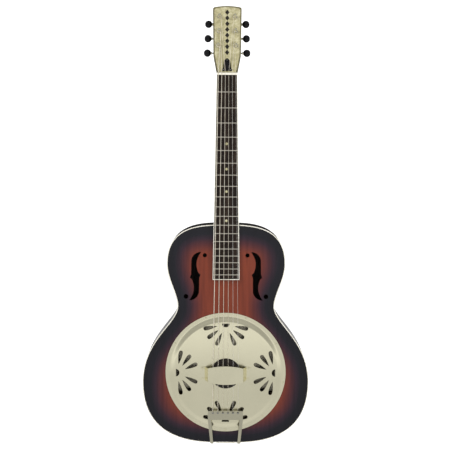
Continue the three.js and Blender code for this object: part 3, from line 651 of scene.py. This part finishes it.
HALF_OUTLINE = [
    [(0, BODY_TOP), (44, BODY_TOP), (127, -313), (127, -401)],
    [(127, -401), (127, -434), (104, -467), (104, -492)],
    [(104, -492), (104, -529), (179, -566), (179, -657)],
    [(179, -657), (179, -800), (40, BODY_END), (0, BODY_END)],
]


def half_outline(inset, steps=28):
    """The body's treble edge from the neck to the tail, moved in by the inset."""
    half = np.concatenate([bezier(*curve, steps)[(i > 0):] for i, curve in enumerate(HALF_OUTLINE)])
    along = np.gradient(half, axis=0)
    along[0], along[-1] = (1, 0), (-1, 0)
    along /= np.linalg.norm(along, axis=1)[:, None]
    moved_in = half + inset * np.stack([along[:, 1], -along[:, 0]], 1)
    moved_in[[0, -1], 0] = 0
    return moved_in


def f_hole(x, z, mirror):
    """A hole's one edge from tip to tip, then the same edge turned half a turn."""
    edge = np.concatenate([
        bezier((12.6, 52), (4, 52), (-7.8, 46), (-8.3, 32), 12),
        [(-8.5, 18), (-8.6, 4), (-11.3, -3), (-6.9, -7)],
        bezier((-6.9, -7), (-1.4, -20), (0.6, -34), (-12.6, -52), 16)[1:],
    ])
    loop = np.concatenate([edge, -edge[1:-1]])
    return loop * (mirror, 1) + (x, z)


def inner_wall(middle, normal):
    line = mirrored(half_outline(SIDE_WALL - 1))
    return inside(np.array([[middle.x, middle.z]]), line)[0]


def mark_edge(obj):
    """Stores each point's distance from the body's outline, in millimetres, for the sunburst."""
    edge = obj.data.attributes.new("edge", "FLOAT", "POINT")
    co = np.array([v.co for v in obj.data.vertices])
    plan = (co[:, [0, 2]] - (ZERO.x, ZERO.z)) / MM
    edge.data.foreach_set("value", distance(plan, mirrored(half_outline(0))).astype(np.float32))


def make_body():
    holes = [circle(0, COVER_Z, FLANGE_INNER, 120)]
    for side in (-1, 1):
        holes.append(f_hole(side * F_HOLE_X, F_HOLE_Z, -side))
        holes += [circle(side * x, z, radius, 28) for x, z, radius in SOUND_DOTS]
    flat, faces = fill(mirrored(half_outline(BINDING)), holes, pitch=6)
    top = piece("soundboard_lacquered", *plate(flat, faces, 0, PLATE), material="sunburst_top",
                replaces=["soundboard"])
    mark_edge(top)
    # The soundboard's underside takes the dark inside wood as painted shade.
    shade_faces_inside(top, "inside_wood_painted_shade", lambda middle, normal: normal.y > 0.5)
    bevel(top, 0.4)

    flat, faces = fill(mirrored(half_outline(BINDING)), pitch=9)
    back = plate(flat, faces, BODY_DEPTH - PLATE, PLATE)
    back = piece("back_lacquered", *back, material="sunburst_back", slot="dark_lacquer",
                 replaces=["back_plate"])
    mark_edge(back)
    # The back's inner face takes the dark inside wood as painted shade.
    shade_faces_inside(back, "inside_wood_painted_shade", lambda middle, normal: normal.y < -0.5)

    ring = fill(mirrored(half_outline(0)), [mirrored(half_outline(BINDING))], NO_POINTS)
    for name, front in (("top_binding", 0), ("back_binding", BODY_DEPTH - PLATE)):
        made = piece(name + "_strip", *plate(*ring, front, PLATE), material="ivory_plastic",
                     replaces=[name])
        bevel(made, 0.5, 3)

    for side, name in ((-1, "side_bass"), (1, "side_treble")):
        outer, inner = half_outline(0), half_outline(SIDE_WALL)[::-1]
        loop = np.concatenate([outer, inner]) * (side, 1)
        flat, faces = fill(loop, points=NO_POINTS)
        wall = plate(flat, faces, PLATE, BODY_DEPTH - 2 * PLATE)
        wall = piece(name + "_lacquered", *wall, material="dark_lacquer", replaces=[name])
        # The sides' inner walls take the dark inside wood as painted shade.
        shade_faces_inside(wall, "inside_wood_painted_shade", inner_wall)


# ------------------------------ cover plate and resonator


def dome(x, z):
    """The height of the cover plate's front: a flat flange, a steep step up and a low dome."""
    r = hypot(x, z - COVER_Z)
    if r >= FLANGE_INNER:
        return FLANGE_FACE
    height = -(DOME_FOOT + DOME_RISE * (1 - (r / DOME_RADIUS) ** 2))
    share = max(0.0, (r - SHOULDER_RADIUS) / (FLANGE_INNER - SHOULDER_RADIUS))
    return height + (FLANGE_FACE - height) * share * share * (3 - 2 * share)


def rosette():
    """Outlines of six petals and a half moon about a fan's middle, pointing to -z."""
    right = bezier((0, 19), (2.4, 27), (4.6, 36), (4.3, 43.5), 10)
    tip = bezier((4.3, 43.5), (4.1, 47.2), (2.4, 48.6), (0, 48.6), 6)[1:]
    petal = mirrored(np.concatenate([right, tip]))
    outlines = [turned(petal, radians(angle)) for angle in PETAL_ANGLES]
    arc = np.linspace(0, pi, 17)
    outlines.append(np.stack([8 * np.cos(arc), -2 + 7.5 * np.sin(arc)], 1))
    return outlines


def make_cover():
    """The pierced plate, with points in rings so that its shoulder bends smoothly."""
    holes = [circle(0, COVER_Z, COVER_HOLE, 72)]
    for quarter in range(4):
        for outline in rosette():
            outline = turned(outline - (0, ROSETTE_RADIUS), quarter * pi / 2)
            holes.append(outline + (0, COVER_Z))
    radii = list(np.arange(37, SHOULDER_RADIUS - 2, 4.0))
    radii += list(np.linspace(SHOULDER_RADIUS - 0.5, FLANGE_INNER, 12)) + [121.5, 123.5, 126.5]
    rings = np.concatenate([circle(0, COVER_Z, r, 160) for r in radii])
    flat, faces = fill(circle(0, COVER_Z, COVER_RADIUS, 160), holes, rings, pitch=1.0, clear=0.8)
    cover = piece("cover_plate_pierced", *plate(flat, faces, dome, COVER_SHEET),
                  replaces=["cover_plate"], sharp=50)
    # The plate's underside takes the dark nickel as painted shade inside the resonator.
    shade_faces_inside(cover, "nickel_underside_painted_shade", lambda middle, normal: normal.y > 0.3)
    bevel(cover, 0.25, 2, 60)


def make_resonator():
    """The spun cone and, on its raised middle, the wooden disc and the saddle."""
    cone = lathe([(2.3, -6.8), (28, -6.8), (31, -6.2), (34, -4.6), (70, 8.5), (104, 17.4),
                  (107, 17.2), (109, 16.4), (111, 17.4), (113, 18), (120.3, 18),
                  (120.3, 18.9), (108, 18.9), (70, 9.3), (34, -3.8), (2.3, -5.9)], 160, True)
    piece("resonator_cone_spun", *cone, COVER, material="spun_aluminium", replaces=["resonator_cone"])
    biscuit = lathe([(0, -15.1), (29.6, -15.1), (31, -13.7), (31, -7.1), (0, -7.1)], 96)
    piece("biscuit_turned", *biscuit, COVER, material="stained_maple", replaces=["biscuit"])
    rings = []
    for x in np.linspace(-SADDLE_HALF, SADDLE_HALF, 25):
        top = SADDLE_TOP + 0.5 + 0.9 * (x / SADDLE_HALF) ** 2
        rings.append([(x, -15.4, -3.2), (x, top + 0.6, -3.2), (x, top, -2.3), (x, top, -0.9),
                      (x, top + 0.6, 0), (x, -15.4, 0)])
    piece("saddle_shaped", *loft(rings), COVER, material="stained_maple", replaces=["saddle"])


def make_hand_rest():
    """A sheet bent over the saddle: tabs, sloping ends and a bowed, barrel-shaped top."""
    foot = REST_END + REST_FOOT
    tab = dome(41, COVER_Z) - GAP - REST_SHEET / 2
    line = [(54, tab), (50, tab)]
    line += list(bezier((foot + 1.6, tab), (foot + 0.4, tab), (foot, tab - 0.4), (foot - 0.5, tab - 2), 5))
    line += list(bezier((REST_END - 1.9, REST_TOP + 3.4), (REST_END - 2.2, REST_TOP + 0.8),
                        (REST_END - 2.8, REST_TOP + 0.2), (REST_END - 5, REST_TOP), 6))
    line += [(x, REST_TOP - 1.4 * (1 - (x / 34.7) ** 2)) for x in np.linspace(31, 0, 9)]
    path = mirrored(line, open_start=True)
    across = np.gradient(path, axis=0)
    across /= np.linalg.norm(across, axis=1)[:, None]
    normal = np.stack([-across[:, 1], across[:, 0]], 1) * REST_SHEET / 2
    rings = []
    for (x, y), (nx, ny) in zip(path, normal):
        reach = 14.3 + 5.5 * max(0.0, 1 - (x / REST_END) ** 2)
        if abs(x) > 50:
            reach -= 1.6 * ((abs(x) - 50) / 4) ** 2
        corners = [(-reach, -1), (-reach + 0.5, -1), (reach - 0.5, -1), (reach, -1),
                   (reach, 1), (reach - 0.5, 1), (-reach + 0.5, 1), (-reach, 1)]
        rings.append([(x + side * nx, y + side * ny, z) for z, side in corners])
    rest = piece("hand_rest_bent", *loft(rings), COVER, replaces=["hand_rest"])
    bevel(rest, 0.3, 2, 50)
    for i, (x, z) in enumerate(((-49.4, -11), (-49.4, 11), (49.4, -11), (49.4, 11))):
        screw(f"hand_rest_screw_{i + 1}", (x, tab - REST_SHEET / 2, z), 2.3, COVER)


def make_cover_screws():
    for i in range(COVER_SCREWS):
        angle = radians(110 + 360 / COVER_SCREWS * i)
        spot = (COVER_SCREW_RADIUS * cos(angle), FLANGE_FACE, COVER_SCREW_RADIUS * sin(angle))
        screw(f"cover_screw_{i + 1}", spot, 2.1, COVER)


def screw_mesh():
    """A domed head with a cross recess, of radius 1 and facing -y."""
    profile = [(0, 0.1), (1, 0.1), (1, -0.12), (0.9, -0.34), (0.6, -0.52), (0, -0.6)]
    slots = joined(box(-0.55, 0.55, -0.9, -0.28, -0.12, 0.12), box(-0.12, 0.12, -0.9, -0.28, -0.55, 0.55))
    head = new_object("screw_head", clean_mesh("screw_head", *lathe(profile, 40), 1e-5))
    tool = new_object("screw_slots", clean_mesh("screw_slots", *slots, 1e-5))
    carve = head.modifiers.new("recess", "BOOLEAN")
    carve.operation, carve.object, carve.solver, carve.use_self = "DIFFERENCE", tool, "EXACT", True
    graph = bpy.context.evaluated_depsgraph_get()
    made = bpy.data.meshes.new_from_object(head.evaluated_get(graph))
    for obj in (head, tool):
        bpy.data.objects.remove(obj)
    smooth(made, 40)
    return made


SCREW = screw_mesh()


def screw(name, spot, radius, place=BODY, turn=0.0, body="root", material="nickel"):
    mesh = SCREW.copy()
    spin = Matrix.Rotation(turn, 4, "Y") @ Matrix.Scale(radius, 4)
    row_frame = Matrix.Translation(ZERO) @ Matrix.Scale(MM, 4)
    mesh.transform(row_frame @ place @ Matrix.Translation(spot) @ spin)
    add_piece(name, mesh, body, material)


# ------------------------------ neck


def board_width(z):
    return NUT_WIDTH + (BOARD_END_WIDTH - NUT_WIDTH) * -z / BOARD_LENGTH


def head_half_width(z):
    if z < HEAD_SHOULDER:
        return 22.2 + 7.1 * z / HEAD_SHOULDER
    return 29.3 + 1.7 * (z - HEAD_SHOULDER) / (HEAD_LENGTH - HEAD_SHOULDER)


def neck_section(half_width, depth, power, narrowing=0.0, top=0.0):
    """A flat front and a rounded back; a high power makes the back squarer."""
    ring = [(x * half_width, top) for x in np.linspace(1, -1, 9)]
    for angle in np.linspace(pi, 2 * pi, 31)[1:-1]:
        c, s = cos(angle), -sin(angle)
        x = copysign(abs(c) ** (2 / power), c) * half_width
        y = s ** (2 / power)
        ring.append((x * (1 - narrowing * y), top + y * depth))
    return ring


def placed(place, points):
    """Points of one drawing frame, in the body frame."""
    return [tuple(place @ Vector(p)) for p in points]


def make_neck():
    """One skin from the heel, along the shaft and into the headstock."""
    rings = []
    for step in range(15):
        share = 1 - step / 14
        z = BODY_TOP + GAP + (1 - share) * HEEL_LENGTH
        front = (NECK @ Vector((0, BOARD_THICKNESS + GAP, z))).y
        heel = NECK_DEPTH + (HEEL_DEPTH - front - NECK_DEPTH) * share ** 2.6
        ring = neck_section(board_width(z) / 2, heel, 2.0 + 1.1 * share, 0.42 * share ** 1.5)
        rings.append([(x, front + y, z) for x, y in ring])
    for z in np.linspace(-225, -14, 16):
        ring = neck_section(board_width(z) / 2, 14.4 - 1.6 * z / 300, 2.0)
        rings.append(placed(NECK, [(x, BOARD_THICKNESS + GAP + y, z) for x, y in ring]))
    for z, depth, power in ((-8, 14.6, 2.1), (-2, 15.6, 2.4), (3.5, 17.0, 2.9)):
        front = BOARD_THICKNESS + GAP * (z < 0)
        ring = neck_section(NUT_WIDTH / 2, depth, power)
        rings.append(placed(NECK, [(x, front + y, z) for x, y in ring]))
    stations = [(4, 16.6, 4), (9, 15.2, 5.5), (16, 14.2, 8), (26, 14, 12)]
    stations += [(z, HEAD_THICKNESS, 16) for z in (34, 41, 60, 90, 120, 140)]
    for z, depth, power in stations:
        ring = neck_section(head_half_width(z), depth, power)
        rings.append(placed(HEAD, [(x, y, z) for x, y in ring]))
    crest = [(144.5, 30.8, 0.0), (146.4, 30.2, 0.2), (148, 28.4, 0.4), (149.3, 24, 0.6),
             (150.2, 16, 0.8), (150.8, 7, 1.0)]
    for z, half, pull in crest:
        ring = neck_section(half, HEAD_THICKNESS - pull, 16, top=pull / 2)
        rings.append(placed(HEAD, [(x, y, z) for x, y in ring]))
    piece("neck_carved", *loft(rings), material="dark_lacquer", replaces=["neck"], sharp=50)


def make_heel_cap():
    section = neck_section(14.6, 14.5, 3.2)
    rings = []
    for y, size in ((74.1, 1), (76.3, 1), (77, 0.94)):
        rings.append([(x, y, BODY_TOP + 1.2 + 0.98 * depth * size) for x, depth in section])
    piece("heel_cap_trim", *loft(rings), material="ivory_plastic", replaces=["heel_cap"])


def head_outline(inset, start):
    """The headstock's edge, from the nut end up to the gently arched top."""
    stations = (start, HEAD_SHOULDER - 3, HEAD_SHOULDER, HEAD_SHOULDER + 4)
    sides = [(head_half_width(z) - inset, z) for z in stations]
    edge = HEAD_LENGTH - inset
    half = head_half_width(edge - 7.5) - inset
    corner = (half - 5.5, edge - 2.4)
    crown = bezier((half, edge - 7.5), (half, edge - 4.4), (half - 1.8, edge - 3), corner, 8)
    top = bezier(corner, (half - 13, edge - 1.1), (9, edge), (0, edge), 10)[1:]
    return mirrored(np.concatenate([sides, crown, top]), open_start=True)


def tuner_spot(side, row):
    """Where a post passes through the headstock."""
    along = row + GEAR_RADIUS + WORM_RADIUS - TUNER_ROWS[1]
    angle = -side * TUNER_TILT
    return side * POST_X + along * sin(angle), TUNER_ROWS[1] + along * cos(angle)


def make_headstock_face():
    posts = [circle(*tuner_spot(side, row), 4, 28) for side in (-1, 1) for row in TUNER_ROWS]
    face = plate(*fill(head_outline(3.0, 0.6), posts, pitch=7), -2.3, 2.2)
    bevel(piece("headstock_overlay_pearl", *face, HEAD, material="pearloid",
                replaces=["headstock_overlay"]), 0.25)
    ring = fill(head_outline(0.1, 0.55), [head_outline(3.02, 0.62)], NO_POINTS)
    rim = plate(*ring, -2.1, 2.0)
    bevel(piece("headstock_edge", *rim, HEAD, material="olive_edge", slot="pearloid"), 0.8, 3)
    for i, z in enumerate(np.linspace(45, 136, 8)):
        diamond = [(0, z + 6.3), (4.6, z), (0, z - 6.3), (-4.6, z)]
        inlay = plate(*fill(diamond, points=NO_POINTS), -2.36, 0.3)
        piece(f"headstock_diamond_{i + 1}", *inlay, HEAD, material="black_inlay", slot="black_plastic")


def make_rod_cover():
    """A plain bell-shaped plate over the truss rod's end."""
    half = np.concatenate([
        [(10.5, 3)], bezier((10.5, 4), (7.6, 12), (7.6, 15), (7, 20), 8),
        bezier((7, 20), (6, 27.5), (3, 31.5), (0, 31.5), 8)[1:]])
    cover = plate(*fill(mirrored(half, open_start=True), pitch=3), -4.5, 2)
    bevel(piece("truss_rod_cover_bell", *cover, HEAD, material="black_plastic",
                replaces=["truss_rod_cover"]), 0.6, 3)
    for i, (x, z) in enumerate(((-7.2, 6), (7.2, 6), (0, 27.4))):
        screw(f"rod_cover_screw_{i + 1}", (x, -4.5, z), 1.1, HEAD, 0.5 + i, material="steel")


def make_fingerboard():
    """A slightly rounded board, 19 crowned frets, pearl dots and a bound edge."""
    inset = BOARD_BINDING
    rings = []
    for z in np.linspace(0, -BOARD_LENGTH + inset, 60):
        half = board_width(z) / 2 - inset
        top = [(x * half, 0.02 + 0.25 * x * x, z) for x in np.linspace(-1, 1, 13)]
        rings.append(top + [(half, BOARD_THICKNESS, z), (-half, BOARD_THICKNESS, z)])
    piece("fingerboard_planed", *loft(rings), NECK, material="rosewood", replaces=["fingerboard"])
    for number in range(1, 20):
        z = -SCALE_LENGTH * (1 - 2 ** (-number / 12))
        half = board_width(z) / 2 - 0.5
        rings = []
        for x in np.linspace(-half, half, 15):
            fall = 0.25 * (x / half) ** 2 + 0.8 * max(0.0, abs(x) - half + 1.2) ** 2
            rings.append([(x, fall - 0.95 * sin(a), z + 1.1 * cos(a))
                          for a in np.linspace(0, pi, 9)])
        piece(f"fret_{number}", *loft(rings), NECK, material="fret_wire", slot="steel")
    for number in (5, 7, 9, 12):
        middle = -SCALE_LENGTH * (1 - 0.5 * (2 ** (-number / 12) + 2 ** (-(number - 1) / 12)))
        dot = lathe([(0, -0.06), (2.6, -0.06), (2.8, 0.02), (2.8, 0.8), (0, 0.8)], 40)
        piece(f"position_dot_{number}", *moved(dot, Matrix.Translation((0, 0, middle))), NECK,
              material="pearloid")
    end = -BOARD_LENGTH
    loop = [(-NUT_WIDTH / 2, 0), (-BOARD_END_WIDTH / 2, end),
            (BOARD_END_WIDTH / 2, end), (NUT_WIDTH / 2, 0)]
    inner_end = end + inset
    half_end, half_nut = board_width(inner_end) / 2 - inset, NUT_WIDTH / 2 - inset
    loop += [(half_nut, 0), (half_end, inner_end), (-half_end, inner_end), (-half_nut, 0)]
    strip = plate(*fill(loop, points=NO_POINTS), 0.1, BOARD_THICKNESS)
    bevel(piece("fingerboard_binding_strip", *strip, NECK, material="ivory_plastic",
                replaces=["fingerboard_binding"]), 0.35)


def make_nut():
    """A bone-coloured nut with a rounded top and a notch under each string."""
    rings = []
    notches = [NUT_SPREAD * (i / 5 - 0.5) for i in range(6)]
    stops = set(np.linspace(-NUT_WIDTH / 2, NUT_WIDTH / 2, 45))
    for x, radius in zip(notches, STRING_RADII):
        stops |= {x - radius - 0.15, x - radius, x + radius, x + radius + 0.15}
    for x in sorted(stops):
        deep = any(abs(x - n) < r + 0.05 for n, r in zip(notches, STRING_RADII))
        top = NUT_TOP - 0.9 + (0.8 if deep else 0.0)
        rings.append([(x, BOARD_THICKNESS, 0.1), (x, top + 0.2, 0.1), (x, top, 0.5), (x, top + 0.1, 2.5),
                      (x, top + 0.9, 4.4), (x, top + 1.6, 5.0), (x, BOARD_THICKNESS, 5.0)])
    piece("nut_notched", *loft(rings), NECK, material="ivory_plastic", replaces=["nut"], sharp=40)


# ------------------------------ tuners


def tuner_frame(side, row, raised=0.0):
    """The frame of one tuner: z along the strip, x to the treble side, y into the headstock."""
    return (HEAD @ Matrix.Translation((side * POST_X, 0, TUNER_ROWS[1]))
            @ Matrix.Rotation(-side * TUNER_TILT, 4, "Y")
            @ Matrix.Translation((0, WORM_Y, row - TUNER_ROWS[1] + raised)))


def worm_mesh():
    """A screw thread on a round core; its crest meets the gear at x = 0."""
    pitch = 2 * pi * GEAR_RADIUS / GEAR_TEETH
    rings = []
    for x in np.linspace(-4.4, 4.4, 89):
        ring = []
        for angle in around(32):
            phase = x / pitch - (angle / (2 * pi) - 0.25)
            from_crest = abs(phase - round(phase))
            rise = min(max((0.26 - from_crest) / 0.12, 0.0), 1.0)
            reach = 2.4 + 1.2 * rise
            ring.append((x, reach * cos(angle), reach * sin(angle)))
        rings.append(ring)
    return loft(rings)


def turned_x(profile, segments=48, flat=1.0):
    """A turned piece about the x axis from (x, radius) pairs, flattened along y."""
    return loft([[(x, flat * radius * cos(a), radius * sin(a)) for a in around(segments)]
                 for x, radius in profile])


def button_profile():
    """Half a bean: a narrow collar end, then a full round body."""
    profile = [(-BUTTON_LENGTH, 2.2), (-BUTTON_LENGTH + 0.4, 3.4)]
    for angle in np.linspace(-62, 88, 20):
        a = radians(angle)
        profile.append((BUTTON_LENGTH * sin(a), BUTTON_WIDTH * cos(a) ** 0.86))
    profile.append((BUTTON_LENGTH, 0.05))
    return profile


def make_tuner(number, side, row):
    """The knob with its worm, and the post with its gear screw and bushing."""
    turner = tuner_frame(side, row)
    knob, post = f"knob_{number}", f"post_{number}"
    ends = sorted((-side * 7.2, side * (BUTTON_X + 1)))
    shaft = turned_x([(ends[0], 1.2), (ends[0] + 0.4, 1.6), (ends[1] - 0.4, 1.6), (ends[1], 1.2)], 32)
    piece(f"tuner_shaft_{number}_threaded", *joined(worm_mesh(), shaft), turner, knob, "steel",
          replaces=[f"tuner_shaft_{number}"])
    flat = BUTTON_THICKNESS / BUTTON_WIDTH
    bean = turned_x([(side * x, r) for x, r in button_profile()], 48, flat)
    button = moved(bean, Matrix.Translation((side * BUTTON_X, 0, 0)))
    piece(f"tuner_button_{number}_moulded", *button, turner, knob, "black_plastic",
          replaces=[f"tuner_button_{number}"], sharp=60)
    profile = ((13.2, 1.7), (13.4, 2.7), (15.4, 2.9), (15.9, 2.3))
    collar = turned_x([(side * x, r) for x, r in profile], 32)
    piece(f"tuner_collar_{number}", *collar, turner, knob)

    capstan = tuner_frame(side, row, GEAR_RADIUS + WORM_RADIUS)
    front, back = -15 - WORM_Y, 2.4
    profile = [(0, front), (2.6, front), (3.0, front + 0.5), (3.0, front + 4.6), (2.55, front + 5.6),
               (2.55, front + 9.6), (3.0, front + 10.6), (3.0, back - 0.3), (2.7, back), (0, back)]
    piece(f"tuner_post_{number}_turned", *lathe(profile, 40), capstan, post,
          replaces=[f"tuner_post_{number}"])
    screw(f"gear_screw_{number}", (0, back, 0), 2.4,
          capstan @ Matrix.Rotation(pi, 4, "Z"), 0.3 * number, post, "steel")
    bush = lathe([(3.25, -0.3), (5.4, -0.3), (5.4, -0.8), (4.9, -1.5), (3.4, -1.7), (3.25, -1.4)], 40, True)
    ferrule = moved(bush, Matrix.Translation((0, -WORM_Y - 2, 0)))
    piece(f"tuner_bushing_{number}", *ferrule, capstan)


def make_tuner_plates():
    for side, name in ((-1, "bass"), (1, "treble")):
        for i, row in enumerate((TUNER_ROWS[0] - 8.5, TUNER_ROWS[0] + 20.5, TUNER_ROWS[1] + 20.5,
                                 TUNER_ROWS[2] + 16.5)):
            place = tuner_frame(side, row) @ Matrix.Rotation(pi, 4, "Z")
            screw(f"tuner_plate_screw_{name}_{i + 1}", (0, WORM_Y - HEAD_THICKNESS - 1.5, 0), 1.9,
                  place, 0.7 * i, material="steel")


# ------------------------------ strings


def make_string(index):
    """The wire from the tailpiece to the post, its ball end and its turns on the post."""
    radius = STRING_RADII[index]
    side = -1 if index < 3 else 1
    row = TUNER_ROWS[index] if side < 0 else TUNER_ROWS[5 - index]
    x, z = tuner_spot(side, row)
    clear = POST_RADIUS - 0.4 + radius
    level = -7.8
    end = HEAD @ Vector((x - side * clear, level, z - 1))
    across_nut = NUT_SPREAD * (index / 5 - 0.5)
    over = NUT_TOP - GAP - radius
    nut = [NECK @ Vector((across_nut, over, depth)) for depth in (GAP, 2.5)]
    nut.append(NECK @ Vector((across_nut, over + 0.35, NUT_LENGTH - 0.4)))
    across = BRIDGE_SPREAD * (index / 5 - 0.5)
    saddle_y = SADDLE_TOP - GAP - radius
    bar = [(across, BAR_FACE - 2.9, BAR_TOP - 3.6), (across, BAR_FACE - 3.1, BAR_TOP - 1)]
    saddle = [(across, saddle_y, COVER_Z - d) for d in (2.4, 1.6, 0.8)]
    material = "wound_string" if index < 4 else "plain_string"
    wire = tube([*bar, *saddle, *nut, end], radius, 12)
    piece(f"string_{index + 1}_wire", *wire, material=material, replaces=[f"string_{index + 1}"])

    # Real ball ends, given darker steel as painted shade for the gap under the bar's lip.
    ball = turned_x([(-1.9, 0.9), (-1.9, 1.5), (-1.5, 1.9), (-0.7, 1.9), (-0.45, 1.35), (0.45, 1.35),
                     (0.7, 1.9), (1.5, 1.9), (1.9, 1.5), (1.9, 0.9)], 28)
    seat = Matrix.Translation((across, BAR_FACE - 2.4, BAR_TOP - 4.9))
    piece(f"string_{index + 1}_ball", *moved(ball, seat), material="steel")

    turns = 2.4 + 2.2 * index / 5
    turn_points = []
    begin, way = (0.0, 1) if side < 0 else (pi, -1)
    steps = int(turns * 20)
    for step in range(steps + 1):
        angle = begin + way * 2 * pi * turns * step / steps
        height = level + 2.15 * radius * turns * step / steps
        turn_points.append((x + clear * cos(angle), height, z + clear * sin(angle)))
    body = f"post_{index + 1}"
    piece(f"string_{index + 1}_winding", *tube(turn_points, radius, 10), HEAD, body, material)


# ------------------------------ carried-over CAD nodes

CAD_FINISH = {
    "neck_block": "mahogany", "tail_block": "mahogany", "fingerboard_shim": "dark_lacquer",
    "sound_well": "plywood", "biscuit_screw": "steel", "truss_rod": "steel",
    # The tailpiece and its hanger take the darker nickel, painted shade.
    "tailpiece": "tail_nickel_painted_shade", "tail_hanger": "tail_nickel_painted_shade", "tail_hinge_pin": "steel",
    "strap_button": "nickel", "tuner_plate_bass": "nickel", "tuner_plate_treble": "nickel",
}
CAD_FINISH.update({f"tuner_gear_{k}": "brass" for k in range(1, 7)})
CAD_BEVEL = {"tailpiece": 0.45, "tail_hanger": 0.35, "strap_button": 0.4, "tuner_plate_bass": 0.25,
             "tuner_plate_treble": 0.25, "fingerboard_shim": 0.2}


def dress_cad_nodes():
    """Materials and rounded edges on the CAD pieces that stay."""
    for name, finish in CAD_FINISH.items():
        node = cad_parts[name]
        node.data.materials.clear()
        node.data.materials.append(MATERIALS[finish])
        weld = node.modifiers.new("weld", "WELD")
        weld.merge_threshold = 0.005 * MM
        if name in CAD_BEVEL:
            bevel(node, CAD_BEVEL[name], 2, 30)


# ------------------------------ build

make_camera()
make_stage()
make_world()
for light_name, (light_place, light_size, light_watts) in LIGHTS.items():
    make_light(light_name, light_place, light_size, light_watts)
make_body()
make_cover()
make_resonator()
make_hand_rest()
make_cover_screws()
make_neck()
make_heel_cap()
make_headstock_face()
make_rod_cover()
make_fingerboard()
make_nut()
for tuner in range(6):
    tuner_side = -1 if tuner < 3 else 1
    make_tuner(tuner + 1, tuner_side, TUNER_ROWS[tuner] if tuner < 3 else TUNER_ROWS[5 - tuner])
make_tuner_plates()
for string in range(6):
    make_string(string)
dress_cad_nodes()
